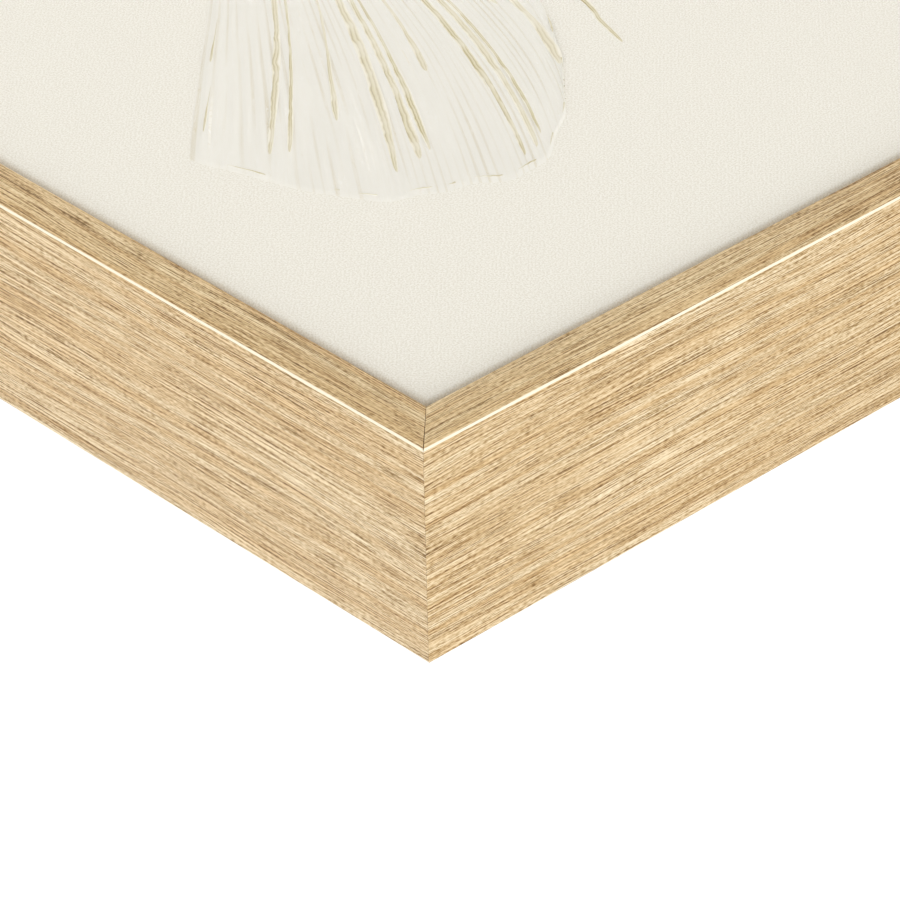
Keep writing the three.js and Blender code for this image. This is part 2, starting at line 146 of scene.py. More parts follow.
@contextlib.contextmanager
def worked(piece):
    """Opens a piece's mesh to work on, and writes it back."""
    form = bmesh.new()
    form.from_mesh(piece.data)
    yield form
    form.to_mesh(piece.data)
    form.free()


def merged_copy(node, name):
    """A copy of a CAD node with its triangles merged into whole faces."""
    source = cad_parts[node].data
    piece = new_piece(name, [v.co for v in source.vertices], [p.vertices for p in source.polygons])
    with worked(piece) as form:
        bmesh.ops.remove_doubles(form, verts=form.verts, dist=WELD)
        bmesh.ops.dissolve_limit(form, angle_limit=math.radians(0.5), verts=form.verts, edges=form.edges)
    return piece


def bevel_edges(piece, width, segments, wanted):
    """Rounds the edges that wanted(edge) picks."""
    with worked(piece) as form:
        bmesh.ops.bevel(
            form, geom=[edge for edge in form.edges if wanted(edge)], offset=width, offset_type="OFFSET",
            segments=segments, profile=0.5, affect="EDGES", clamp_overlap=True,
        )


def write_attribute(piece, name, kind, domain, values):
    """Stores one value for each vertex or face corner."""
    layer = piece.data.attributes.new(name, kind, domain)
    flat = np.asarray(values, dtype=np.float32).ravel()
    layer.data.foreach_set("vector" if kind == "FLOAT_VECTOR" else "value", flat)


def finish(piece, materials, crease, body, slot, *nodes):
    """Gives a piece its materials, and smooth shading broken at edges sharper than crease degrees. It rides
    on a body and stands for CAD nodes; the finish slot it is given is not used."""
    for material in materials:
        piece.data.materials.append(material)
    piece.data.shade_smooth()
    piece.data.set_sharp_from_angle(angle=math.radians(crease))
    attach(piece, body)
    if nodes:
        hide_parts(*nodes)


def oak_foil_material():
    """Light oak foil, printed and embossed with fine pores, under a satin lacquer: long and short streaks
    along the rail, the darkest of them pores, a front edge a shade browner than the sides, and a painted
    highlight on the arris: a pale, near-white colour where the bevel catches the light."""
    material, tree, shader = new_material("light oak foil, embossed and satin lacquered")
    grain = add_node(tree, "ShaderNodeAttribute", attribute_name="grain").outputs["Vector"]
    slow = add_node(
        tree, "ShaderNodeVectorMath", {0: grain, 1: per_mm(0.012, 0.08, 1.0)}, operation="MULTIPLY")
    wander = add_node(tree, "ShaderNodeTexNoise", {"Vector": slow, "Scale": 1.0, "Detail": 1.0})
    drift = add_node(tree, "ShaderNodeMath", {0: wander, 1: 0.5}, operation="SUBTRACT")
    sideways = add_node(tree, "ShaderNodeVectorMath", {0: (0, 4 * MM, 0), "Scale": drift}, operation="SCALE")
    fibre_place = add_node(tree, "ShaderNodeVectorMath", {0: grain, 1: sideways}, operation="ADD")
    patterns = []
    for stretch, detail, roughness in (
        (per_mm(0.010, 0.5, 1.0), 2.0, 0.5), (per_mm(0.016, 4.3, 1.0), 1.0, 0.4),
        (per_mm(0.12, 5.6, 3.0), 0.0, 0.5), (per_mm(0.9, 4.6, 7.0), 0.0, 0.5),
    ):
        place = add_node(tree, "ShaderNodeVectorMath", {0: fibre_place, 1: stretch}, operation="MULTIPLY")
        patterns.append(add_node(tree, "ShaderNodeTexNoise", {
            "Vector": place, "Scale": 1.0, "Detail": detail, "Roughness": roughness}))
    bands, long_streaks, short_streaks, specks = patterns
    streaks = add_node(tree, "ShaderNodeMix", {"Factor": 0.42, 2: long_streaks, 3: short_streaks})
    fibres = add_node(tree, "ShaderNodeMix", {"Factor": 0.24, 2: streaks, 3: specks})

    tone = add_node(tree, "ShaderNodeValToRGB", {"Fac": fibres})
    set_ramp(tone, [
        (0.37, "#75572F"), (0.43, "#A28556"), (0.475, "#C3A97F"), (0.525, "#D5BF9A"), (0.60, "#EDDCBC")])
    banded = add_node(tree, "ShaderNodeValToRGB", {"Fac": bands})
    set_ramp(banded, [(0.36, "#F3E7D4"), (0.64, "#FFFFFF")])
    pored = add_node(
        tree, "ShaderNodeMix", {"Factor": 1.0, 6: tone, 7: banded}, data_type="RGBA", blend_type="MULTIPLY")
    front = add_node(tree, "ShaderNodeAttribute", attribute_name="front").outputs["Fac"]
    toned = add_node(
        tree, "ShaderNodeMix", {"Factor": front, 6: pored, 7: linear("#FBF8EC")}, data_type="RGBA",
        blend_type="MULTIPLY")
    painted_highlight = add_node(tree, "ShaderNodeAttribute", attribute_name="painted_highlight").outputs["Fac"]
    # The arris bevel is painted a pale, near-white colour: a painted highlight, not a lighter foil.
    arris = add_node(
        tree, "ShaderNodeMix", {"Factor": painted_highlight, 6: toned, 7: linear("#F2E9D3")}, data_type="RGBA")

    pores = add_node(tree, "ShaderNodeMapRange", {"Value": fibres, "From Min": 0.47, "From Max": 0.38})
    gloss = add_node(tree, "ShaderNodeMapRange", {"Value": pores, "To Min": 0.44, "To Max": 0.68})
    depth = add_node(tree, "ShaderNodeMath", {0: pores, 1: -1.0}, operation="MULTIPLY")
    bump = add_node(tree, "ShaderNodeBump", {"Height": depth, "Strength": 0.4, "Distance": 0.04 * MM})
    feed(tree, shader, {"Base Color": arris, "Roughness": gloss, "Normal": bump})
    return material


def softwood_material(name, pale, dark, ring_width):
    """Planed softwood or sawn hardwood: growth rings of uneven width, each darkening to a thin line of
    late wood, with broad uneven patches and fine fibres along the piece."""
    material, tree, shader = new_material(name, roughness=0.62)
    grain = add_node(tree, "ShaderNodeAttribute", attribute_name="grain").outputs["Vector"]
    patterns = []
    for stretch, detail, roughness in (
        (per_mm(0.005, 0.09, 0.09), 2.0, 0.5), (per_mm(0.04, 3.4, 3.4), 3.0, 0.7),
        (per_mm(0.006, 0.09, 0.09), 2.0, 0.5),
    ):
        place = add_node(tree, "ShaderNodeVectorMath", {0: grain, 1: stretch}, operation="MULTIPLY")
        patterns.append(add_node(tree, "ShaderNodeTexNoise", {
            "Vector": place, "Scale": 1.0, "Detail": detail, "Roughness": roughness}))
    drift, fibres, patches = patterns
    sway = (0, 3.4 * ring_width, 3.4 * ring_width)
    moved = add_node(
        tree, "ShaderNodeVectorMath", {0: drift.outputs["Color"], 1: sway, 2: grain},
        operation="MULTIPLY_ADD")
    pace = (0.15, 1 / ring_width, 1 / ring_width)
    radii = add_node(tree, "ShaderNodeVectorMath", {0: moved, 1: pace}, operation="MULTIPLY")
    rings = add_node(
        tree, "ShaderNodeTexWave", {"Vector": radii, "Scale": 0.32, "Distortion": 0.6, "Detail": 2.0},
        wave_type="RINGS", rings_direction="X", wave_profile="SAW").outputs["Fac"]
    late_wood = add_node(tree, "ShaderNodeMath", {0: rings, 1: 2.6}, operation="POWER")
    faded = add_node(tree, "ShaderNodeMath", {0: late_wood, 1: patches}, operation="MULTIPLY")
    blend = add_node(tree, "ShaderNodeMix", {"Factor": 0.5, 2: faded, 3: fibres})
    shade = add_node(tree, "ShaderNodeMix", {"Factor": 0.3, 2: blend, 3: patches})
    tone = add_node(tree, "ShaderNodeValToRGB", {"Fac": shade})
    set_ramp(tone, [(0.28, pale), (0.6, dark)])
    bump = add_node(tree, "ShaderNodeBump", {"Height": fibres, "Strength": 0.35, "Distance": 0.06 * MM})
    feed(tree, shader, {"Base Color": tone, "Normal": bump})
    return material


oak_foil = oak_foil_material()
bare_core = softwood_material("bare softwood core, planed", "#E3CBA2", "#C9A878", 2.6 * MM)


def rail_coordinates(position, normal, side, offset):
    """Where a point is in the rail's own grain: along it, and round the wrap of the foil."""
    outwards, along, reach = SIDES[side]
    inwards = reach - (position - CENTRE).dot(outwards)
    depth = position.y - FRONT_Y
    if normal.y > FACING and depth > 0.9 * (BACK_Y - FRONT_Y):
        across = inwards
    elif normal.dot(outwards) > FACING:
        across = -depth
    elif normal.dot(outwards) < -FACING:
        across = WALL + depth
    else:
        across = inwards - depth if inwards < WALL / 2 else inwards + depth
    return (position - CENTRE).dot(along), across, offset


def trim_mitres(piece, side):
    """Puts the sawn ends back on the mitres, after the bevels: tight on the outside of the corner, and
    a little open across the front, most at the arris."""
    outwards, along, reach = SIDES[side]
    along_reach = HALF_WIDTH + HEIGHT / 2 - reach
    for vertex in piece.data.vertices:
        inwards = reach - (vertex.co - CENTRE).dot(outwards)
        run = (vertex.co - CENTRE).dot(along)
        ease = OPEN_MITRE
        if inwards < AT_FACE:
            ease = TIGHT_MITRE
        elif vertex.co.y - FRONT_Y < AT_FACE:
            ease = OPEN_MITRE * (1 - MITRE_CLOSING * inwards / WALL)
        limit = along_reach - inwards - ease
        if abs(run) > limit - 2 * OPEN_MITRE:
            vertex.co += along * (math.copysign(limit, run) - run)


for number, (side, (outwards, along, reach)) in enumerate(SIDES.items()):
    rail = merged_copy("rail_" + side, "oak_rail_" + side)
    bevel_edges(rail, BACK_BEVEL, 2, lambda edge: (
        edge.calc_length() > LONG_EDGE and min(v.co.y for v in edge.verts) > BACK_Y - 0.01 * MM))
    bevel_edges(rail, ARRIS_BEVEL, 2, lambda edge: (
        edge.calc_length() > LONG_EDGE and max(v.co.y for v in edge.verts) < FRONT_Y + 1 * MM))
    trim_mitres(rail, side)
    mesh = rail.data
    grain = []
    painted_highlight = []
    front = []
    for face in mesh.polygons:
        is_back = face.normal.y > FACING and face.center.y > BACK_Y - 1 * MM
        # The faces of the arris bevel carry the painted highlight.
        is_arris = face.normal.y < -SLANTED and face.normal.dot(outwards) > SLANTED
        face.material_index = int(is_back)
        for index in face.loop_indices:
            corner = mesh.vertices[mesh.loops[index].vertex_index].co
            place = rail_coordinates(corner, face.normal, side, PRINT_STEP * number)
            grain.append((place[0] + number, place[1] + PITH.y, PITH.z) if is_back else place)
            painted_highlight.append(float(is_arris))
            front.append(float(face.normal.y < -FACING))
    write_attribute(rail, "grain", "FLOAT_VECTOR", "CORNER", grain)
    write_attribute(rail, "painted_highlight", "FLOAT", "CORNER", painted_highlight)
    write_attribute(rail, "front", "FLOAT", "CORNER", front)
    finish(rail, [oak_foil, bare_core], RAIL_CREASE, "frame", "oak_foil", "rail_" + side)

# ---- V-nails ----
# Bent strips of zinc-plated sheet, pressed into the back of each mitre to hold the glued corner.
# The strips are plain enough to keep as they are, and take a dull plated finish.


def plated_material(name, colour, roughness, mottle):
    """Plated or bright metal: even colour, with faint cloudy patches where the surface is duller, mottle
    to the millimetre."""
    material, tree, shader = new_material(name, metallic=1.0, base_color=linear(colour))
    place = add_node(tree, "ShaderNodeTexCoord").outputs["Object"]
    clouds = add_node(tree, "ShaderNodeTexNoise", {
        "Vector": place, "Scale": mottle / MM, "Detail": 4.0, "Roughness": 0.65})
    dullness = add_node(tree, "ShaderNodeMapRange", {
        "Value": clouds, "From Min": 0.3, "From Max": 0.7,
        "To Min": roughness - 0.1, "To Max": roughness + 0.14})
    bump = add_node(tree, "ShaderNodeBump", {"Height": clouds, "Strength": 0.25, "Distance": 0.03 * MM})
    feed(tree, shader, {"Roughness": dullness, "Normal": bump})
    return material


zinc_plate = plated_material("zinc-plated steel sheet", "#B9BCC0", 0.38, 1.2)
for node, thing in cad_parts.items():
    if node.startswith("v_nail"):
        thing.material_slots[0].material = zinc_plate

# ---- Stretcher bars ----
# Four planed pine bars with tongued and slotted mitred ends, bevelled so that the cloth touches only
# their outer lips. They are pushed together dry and the canvas holds them.

pine = softwood_material("pine, planed", "#E9CFA0", "#CFA56C", 3.2 * MM)
PINE_PITH = Vector((0, 34 * MM, 21 * MM))
BAR_ROUNDING = 0.4 * MM
SHARP_CORNER = math.radians(40)
WOOD_CREASE = 35


def wood_copy(node, name, side, pith, rounding):
    """A CAD piece of solid wood with eased edges, and coordinates that run with its grain."""
    piece = merged_copy(node, name)
    bevel_edges(piece, rounding, 2, lambda edge: (
        edge.calc_length() > 6 * rounding and edge.is_convex and edge.calc_face_angle(0) > SHARP_CORNER))
    outwards, along, reach = SIDES[side]
    number = list(SIDES).index(side)
    grain = []
    for vertex in piece.data.vertices:
        place = vertex.co - CENTRE
        grain.append((place.dot(along) + number, place.dot(outwards) - reach + pith.y, vertex.co.y + pith.z))
    write_attribute(piece, "grain", "FLOAT_VECTOR", "POINT", grain)
    return piece


for side in SIDES:
    bar = wood_copy("stretcher_" + side, "pine_stretcher_" + side, side, PINE_PITH, BAR_ROUNDING)
    finish(bar, [pine], WOOD_CREASE, "frame", "pine", "stretcher_" + side)

# ---- Corner keys ----
# Thin tapered beech wedges, two to a corner, tapped into the slots behind the mitres to tighten the
# canvas. Each slides out along its own bar.

beech = softwood_material("beech, sawn", "#E6C79D", "#CDA271", 1.4 * MM)
BEECH_PITH = Vector((0, 12 * MM, 30 * MM))
KEY_ROUNDING = 0.12 * MM

for node in [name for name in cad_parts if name.startswith("key_")]:
    _, vertical, horizontal, way = node.split("_")
    side = vertical if way == "across" else horizontal
    key = wood_copy(node, "beech_" + node, side, BEECH_PITH, KEY_ROUNDING)
    finish(key, [beech], WOOD_CREASE, node, "beech", node)

# ---- Canvas ----
# One piece of cotton canvas, primed white outside and raw inside, pulled over the bars and folded
# back 30 mm behind them, with a pleat at each corner. It is held by staples.

canvas_low, canvas_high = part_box("canvas")
CLOTH = 0.45 * MM
FLAP = 30 * MM
FRONT_ROUNDING = 1.5 * MM
CORNER_ROUNDING = 1.5 * MM
BACK_ROUNDING = 0.9 * MM
FLAT_MARGIN = 6 * MM
CORNER_STEPS = 6
THREAD = 0.5 * MM
CLOTH_CREASE = 40
HALF_X = canvas_high[0]
HALF_Z = (canvas_high[2] - canvas_low[2]) / 2
CANVAS_FRONT = canvas_low[1]
CANVAS_BACK = canvas_high[1]


def cloth_material(name, tones, fill, roughness, sheen):
    """Plain-weave cotton. Threads pass over and under each other every half millimetre; priming fills the
    weave, so a primed face shows only a soft grain and raw cloth shows its threads. The colour follows the
    weave's height with some random unevenness, so its low points are painted darker as shade."""
    material, tree, shader = new_material(name, roughness=roughness, sheen_weight=sheen)
    weave_place = add_node(tree, "ShaderNodeAttribute", attribute_name="weave").outputs["Vector"]
    wander = add_node(tree, "ShaderNodeTexNoise", {
        "Vector": weave_place, "Scale": 0.5 / MM, "Detail": 3.0, "Roughness": 0.7}).outputs["Color"]
    shifted = add_node(tree, "ShaderNodeVectorMath", {
        0: wander, 1: (2 * THREAD, 2 * THREAD, 0), 2: weave_place}, operation="MULTIPLY_ADD")
    split = add_node(tree, "ShaderNodeSeparateXYZ", {0: shifted})
    waves = []
    threads = []
    for axis, stretch in enumerate((per_mm(1.3, 0.02, 1.0), per_mm(0.02, 1.3, 1.0))):
        angle = add_node(tree, "ShaderNodeMath", {
            0: split.outputs[axis], 1: math.pi / THREAD}, operation="MULTIPLY")
        waves.append(add_node(tree, "ShaderNodeMath", {0: angle}, operation="SINE"))
        place = add_node(tree, "ShaderNodeVectorMath", {0: weave_place, 1: stretch}, operation="MULTIPLY")
        threads.append(add_node(tree, "ShaderNodeTexNoise", {"Vector": place, "Scale": 1.0, "Detail": 1.0}))
    over_under = add_node(tree, "ShaderNodeMath", {0: waves[0], 1: waves[1]}, operation="MULTIPLY")
    slub = add_node(tree, "ShaderNodeTexNoise", {
        "Vector": weave_place, "Scale": 2.9 / MM, "Detail": 2.0, "Roughness": 0.6})
    height = add_node(tree, "ShaderNodeMix", {"Factor": fill, 2: over_under, 3: slub})
    bump = add_node(tree, "ShaderNodeBump", {"Height": height, "Strength": 0.5, "Distance": 0.22 * MM})
    uneven = add_node(tree, "ShaderNodeMix", {"Factor": 0.5, 2: threads[0], 3: threads[1]})
    mixed = add_node(tree, "ShaderNodeMix", {"Factor": 0.5 * (1 - fill), 2: height, 3: uneven})
    # The low points of the weave take the darker tone: painted shade.
    tone = add_node(tree, "ShaderNodeValToRGB", {"Fac": mixed})
    set_ramp(tone, tones)
    feed(tree, shader, {"Base Color": tone, "Normal": bump})
    return material


primed_cloth = cloth_material(
    "cotton canvas, primed white", [(0.38, "#E3DFD4"), (0.58, "#F5F3EC")],
    fill=0.96, roughness=0.75, sheen=0.0)
raw_cloth = cloth_material(
    "cotton canvas, raw", [(0.1, "#BFAE8C"), (0.62, "#DDD0B4")], fill=0.1, roughness=0.9, sheen=0.3)


def quarter(steps):
    """Angles from nought to a right angle."""
    return [math.pi / 2 * step / steps for step in range(steps + 1)]


def ring_outline(half_x, half_z, rounding):
    """A rectangle with rounded corners about the canvas's middle, from the top right corner."""
    points = []
    for turn, (sx, sz) in enumerate(((1, 1), (-1, 1), (-1, -1), (1, -1))):
        for angle in quarter(CORNER_STEPS):
            bearing = angle + turn * math.pi / 2
            points.append((
                sx * (half_x - rounding) + rounding * math.cos(bearing),
                sz * (half_z - rounding) + rounding * math.sin(bearing),
            ))
    return points


def cloth_shell():
    """The folded cloth as one closed shell: its outer skin from front to flap, then its inner skin.
    Each ring round it is an inset from the canvas's outside and a depth."""
    skin = [(FLAT_MARGIN, CANVAS_FRONT)]
    for angle in quarter(5):
        skin.append((
            FRONT_ROUNDING * (1 - math.sin(angle)), CANVAS_FRONT + FRONT_ROUNDING * (1 - math.cos(angle))))
    for angle in quarter(4):
        skin.append((
            BACK_ROUNDING * (1 - math.cos(angle)), CANVAS_BACK - BACK_ROUNDING * (1 - math.sin(angle))))
    skin += [(FLAP / 2, CANVAS_BACK), (FLAP - CLOTH / 3, CANVAS_BACK), (FLAP, CANVAS_BACK - CLOTH / 3)]
    lining = [
        (FLAP, CANVAS_BACK - CLOTH * 2 / 3), (FLAP - CLOTH / 3, CANVAS_BACK - CLOTH),
        (BACK_ROUNDING, CANVAS_BACK - CLOTH), (CLOTH, CANVAS_BACK - BACK_ROUNDING),
        (CLOTH, CANVAS_FRONT + FRONT_ROUNDING), (FRONT_ROUNDING, CANVAS_FRONT + CLOTH),
        (FLAT_MARGIN, CANVAS_FRONT + CLOTH),
    ]
    vertices = []
    weave = []
    path = 0.0
    rings = skin + lining
    for number, (inset, y) in enumerate(rings):
        if number:
            before = rings[number - 1]
            path += math.hypot(inset - before[0], y - before[1]) * (1 if number < len(skin) else -1)
        rounding = max(CORNER_ROUNDING - inset, 0.25 * MM)
        spread = path - FLAT_MARGIN
        outline = ring_outline(HALF_X - inset, HALF_Z - inset, rounding)
        unrolled = ring_outline(HALF_X + spread, HALF_Z + spread, rounding + spread + inset)
        vertices += [(x, y, z + CENTRE.z) for x, z in outline]
        weave += [(x, z, 0) for x, z in unrolled]
    around = 4 * (CORNER_STEPS + 1)
    last = (len(rings) - 1) * around
    faces = [tuple(reversed(range(around)))]
    for start in range(0, last, around):
        for k in range(around):
            following = (k + 1) % around
            faces.append((start + k, start + following, start + around + following, start + around + k))
    faces.append(tuple(range(last, last + around)))
    shell = new_piece("canvas_cloth", vertices, faces)
    write_attribute(shell, "weave", "FLOAT_VECTOR", "POINT", weave)
    first_inner = 1 + (len(skin) - 1) * around
    for face in shell.data.polygons[first_inner:]:
        face.material_index = 1
    return shell


def outward_normals(piece):
    """Turns every face of a closed mesh outwards."""
    with worked(piece) as form:
        bmesh.ops.recalc_face_normals(form, faces=form.faces)
        if form.calc_volume(signed=True) < 0:
            bmesh.ops.reverse_faces(form, faces=form.faces)


def prism(name, first, second):
    """A closed solid between two outlines with the same number of points."""
    count = len(first)
    faces = [tuple(range(count)), tuple(range(count, 2 * count))]
    faces += [(k, (k + 1) % count, count + (k + 1) % count, count + k) for k in range(count)]
    piece = new_piece(name, [*first, *second], faces)
    outward_normals(piece)
    return piece


cloth = cloth_shell()
outward_normals(cloth)
finish(cloth, [primed_cloth, raw_cloth], CLOTH_CREASE, "frame", "primed_canvas", "canvas")

# The corner pleats: the spare cloth of each corner, folded flat over the flap along the diagonal.
PLEAT_WIDTH = 11 * MM
PLEAT_EASE = 0.02 * MM
LEDGE_CLEAR = 17.3 * MM
SHORT = FLAP - 0.5 * MM  # the pleat stops a little short of the flap's raw edge
PLEAT_PLAN = [
    (LEDGE_CLEAR, LEDGE_CLEAR), (SHORT, SHORT), (SHORT, FLAP + PLEAT_WIDTH),
    (FLAP - 3 * MM, FLAP + PLEAT_WIDTH + 1 * MM), (LEDGE_CLEAR, LEDGE_CLEAR + PLEAT_WIDTH * 0.7),
]
CORNERS = {"top_right": (1, 1), "bottom_right": (1, -1), "bottom_left": (-1, -1), "top_left": (-1, 1)}
for name, (sx, sz) in CORNERS.items():
    base = []
    for across, up in PLEAT_PLAN:
        base.append((sx * (HALF_X - across), CANVAS_BACK + PLEAT_EASE, CENTRE.z + sz * (HALF_Z - up)))
    pleat = prism("canvas_pleat_" + name, base, [(x, y + CLOTH, z) for x, y, z in base])
    bevel_edges(pleat, 0.2 * MM, 3, lambda edge: min(v.co.y for v in edge.verts) > CANVAS_BACK + CLOTH / 2)
    weave = [(v.co.x, v.co.z, 0) for v in pleat.data.vertices]
    write_attribute(pleat, "weave", "FLOAT_VECTOR", "POINT", weave)
    finish(pleat, [primed_cloth], CLOTH_CREASE, "frame", "primed_canvas")

# ---- Staples ----
# Galvanised wire staples with a 10 mm crown, shot through the flap into the bars every 45 mm or so,
# each a little askew, as a hand-held gun leaves them.

STAPLE_CROWN = 10 * MM
STAPLE_WIDTH = 1.2 * MM
STAPLE_HEIGHT = 0.6 * MM
STAPLE_LEG = 2.5 * MM
STAPLE_SPACING = 45 * MM
STAPLE_INSET = 25 * MM
STAPLE_CLEAR = 34 * MM
STAPLE_ROUNDING = 0.22 * MM
STAPLE_ASKEW = math.radians(9)


def fresh_tree(name, **inputs):
    """A Geometry Nodes tree with named inputs: the tree, what it is given, and its output node."""
    tree = bpy.data.node_groups.new(name, "GeometryNodeTree")
    tree.interface.new_socket("Geometry", in_out="INPUT", socket_type="NodeSocketGeometry")
    tree.interface.new_socket("Geometry", in_out="OUTPUT", socket_type="NodeSocketGeometry")
    for title, kind in inputs.items():
        tree.interface.new_socket(title, in_out="INPUT", socket_type="NodeSocket" + kind)
    return tree, add_node(tree, "NodeGroupInput").outputs, add_node(tree, "NodeGroupOutput")


def end_tree(tree, given, end, copies):
    """Ends a tree: its copies are made real, and take its material."""
    real = add_node(tree, "GeometryNodeRealizeInstances", {0: copies})
    coated = add_node(tree, "GeometryNodeSetMaterial", {"Geometry": real, "Material": given["Material"]})
    feed(tree, end, {0: coated})
    return tree


def grown(base, tree, values, name):
    """Runs a tree on a base mesh and returns what it makes as a plain piece."""
    modifier = base.modifiers.new(tree.name, "NODES")
    modifier.node_group = tree
    for item in tree.interface.items_tree:
        if item.item_type == "SOCKET" and item.in_out == "INPUT" and item.name in values:
            modifier[item.identifier] = values[item.name]
    graph = bpy.context.evaluated_depsgraph_get()
    mesh = bpy.data.meshes.new_from_object(base.evaluated_get(graph), depsgraph=graph)
    base.modifiers.remove(modifier)
    piece = bpy.data.objects.new(name, mesh)
    mesh.name = name
    bpy.context.scene.collection.objects.link(piece)
    bpy.data.objects.remove(base)
    return piece


def spaced_copies_tree():
    """Copies of one object along a path that lies in the frame's plane, turned with the path and a
    little askew, with some left out."""
    tree, given, end = fresh_tree(
        "spaced copies along a path", Copy="Object", Spacing="Float", Askew="Float", Smallest="Float",
        Kept="Float", Seed="Int", Material="Material")
    path = add_node(tree, "GeometryNodeMeshToCurve", {"Mesh": given["Geometry"]})
    points = add_node(
        tree, "GeometryNodeCurveToPoints", {"Curve": path, "Length": given["Spacing"]}, mode="LENGTH")
    facing = add_node(
        tree, "FunctionNodeAlignRotationToVector", {"Vector": points.outputs["Tangent"]},
        axis="X", pivot_axis="Y")
    least = add_node(tree, "ShaderNodeMath", {0: given["Askew"], 1: -1.0}, operation="MULTIPLY")
    angle = add_node(tree, "FunctionNodeRandomValue", {2: least, 3: given["Askew"], "Seed": given["Seed"]})
    turn = add_node(tree, "FunctionNodeAxisAngleToRotation", {"Axis": (0, 1, 0), "Angle": angle})
    turned = add_node(tree, "FunctionNodeRotateRotation", {0: facing, 1: turn}, rotation_space="LOCAL")
    size = add_node(tree, "FunctionNodeRandomValue", {2: given["Smallest"], 3: 1.0, "Seed": given["Seed"]})
    kept = add_node(tree, "FunctionNodeRandomValue", {
        "Probability": given["Kept"], "Seed": given["Seed"]}, data_type="BOOLEAN")
    copy = add_node(tree, "GeometryNodeObjectInfo", {"Object": given["Copy"]}).outputs["Geometry"]
    copies = add_node(tree, "GeometryNodeInstanceOnPoints", {
        "Points": points, "Selection": kept, "Instance": copy, "Rotation": turned, "Scale": size})
    return end_tree(tree, given, end, copies)


def path_mesh(name, points):
    """A row of joined points, as a base for a tree."""
    mesh = bpy.data.meshes.new(name)
    mesh.from_pydata([tuple(p) for p in points], [(k, k + 1) for k in range(len(points) - 1)], [])
    base = bpy.data.objects.new(name, mesh)
    bpy.context.scene.collection.objects.link(base)
    return base


def one_staple():
    """A staple seen from behind: its crown along X, standing on the plane y = 0, its legs going in."""
    half = STAPLE_CROWN / 2
    inner = half - STAPLE_HEIGHT
    outline = [
        (-half, -STAPLE_LEG), (-inner, -STAPLE_LEG), (-inner, 0), (inner, 0),
        (inner, -STAPLE_LEG), (half, -STAPLE_LEG), (half, STAPLE_HEIGHT), (-half, STAPLE_HEIGHT),
    ]
    near = [(x, y, -STAPLE_WIDTH / 2) for x, y in outline]
    far = [(x, y, STAPLE_WIDTH / 2) for x, y in outline]
    one = prism("one_staple", near, far)
    bevel_edges(one, STAPLE_ROUNDING, 2, lambda edge: edge.calc_length() > 0.9 * MM and edge.is_convex)
    return one


galvanised = plated_material("galvanised steel wire", "#C3C5C6", 0.34, 2.5)
copies_tree = spaced_copies_tree()
staple = one_staple()
for number, (side, (outwards, _, _)) in enumerate(SIDES.items()):
    reach_x = HALF_X - STAPLE_INSET - (0 if outwards.x else STAPLE_CLEAR)
    reach_z = HALF_Z - STAPLE_INSET - (0 if outwards.z else STAPLE_CLEAR)
    if outwards.z:
        ends = [(-reach_x, reach_z * outwards.z), (reach_x, reach_z * outwards.z)]
    else:
        ends = [(reach_x * outwards.x, reach_z), (reach_x * outwards.x, -reach_z)]
    line = path_mesh("staple_line", [(x, CANVAS_BACK, CENTRE.z + z) for x, z in ends])
    row = grown(line, copies_tree, {
        "Copy": staple, "Spacing": STAPLE_SPACING, "Askew": STAPLE_ASKEW, "Smallest": 0.98, "Kept": 1.0,
        "Seed": 11 + number, "Material": galvanised,
    }, "staples_" + side)
    finish(row, [], 40, "frame", "steel")
bpy.data.objects.remove(staple)

# ---- Relief painting ----
# A plain five-petalled bloom, modelled with a knife and comb in white gesso paste under a millimetre
# thick and drawn over with thin strokes of ochre. It stays well inside the recess of the frame.

BLOOM = Vector((84 * MM, 0, CENTRE.z + 60 * MM))
BLOOM_EYE = 11 * MM
PASTE = 0.24 * MM
PASTE_RIM = 0.07 * MM
COMB_DEPTH = 0.18 * MM
PASTE_SLOPE = 1.3 * MM
BEDDED = 0.03 * MM
PAINT_CREASE = 60

# Each petal or leaf: how far its root is from the eye across and up, its bearing anticlockwise from
# the right, its length and half width, how far it bends, and whether it ends in a fan or a point.
PETALS = {
    "petal_1": ((2, 11), 79, 141, 48, -0.21, 1.0),
    "petal_2": ((-9, 6), 148, 140, 46, -0.20, 1.0),
    "petal_3": ((-9, -6), 214, 150, 46, -0.18, 1.0),
    "petal_4": ((1, -11), 282, 134, 44, -0.20, 1.0),
    "petal_5": ((10, -2), 352, 78, 33, -0.20, 1.0),
    "stem": ((-22, -158), 248, 118, 2.4, 0.10, 0.0),
    "leaf_1": ((-44, -196), 204, 92, 15, 0.20, 0.0),
    "leaf_2": ((-52, -226), 262, 60, 11, 0.22, 0.0),
}
COMB_ROWS = 6


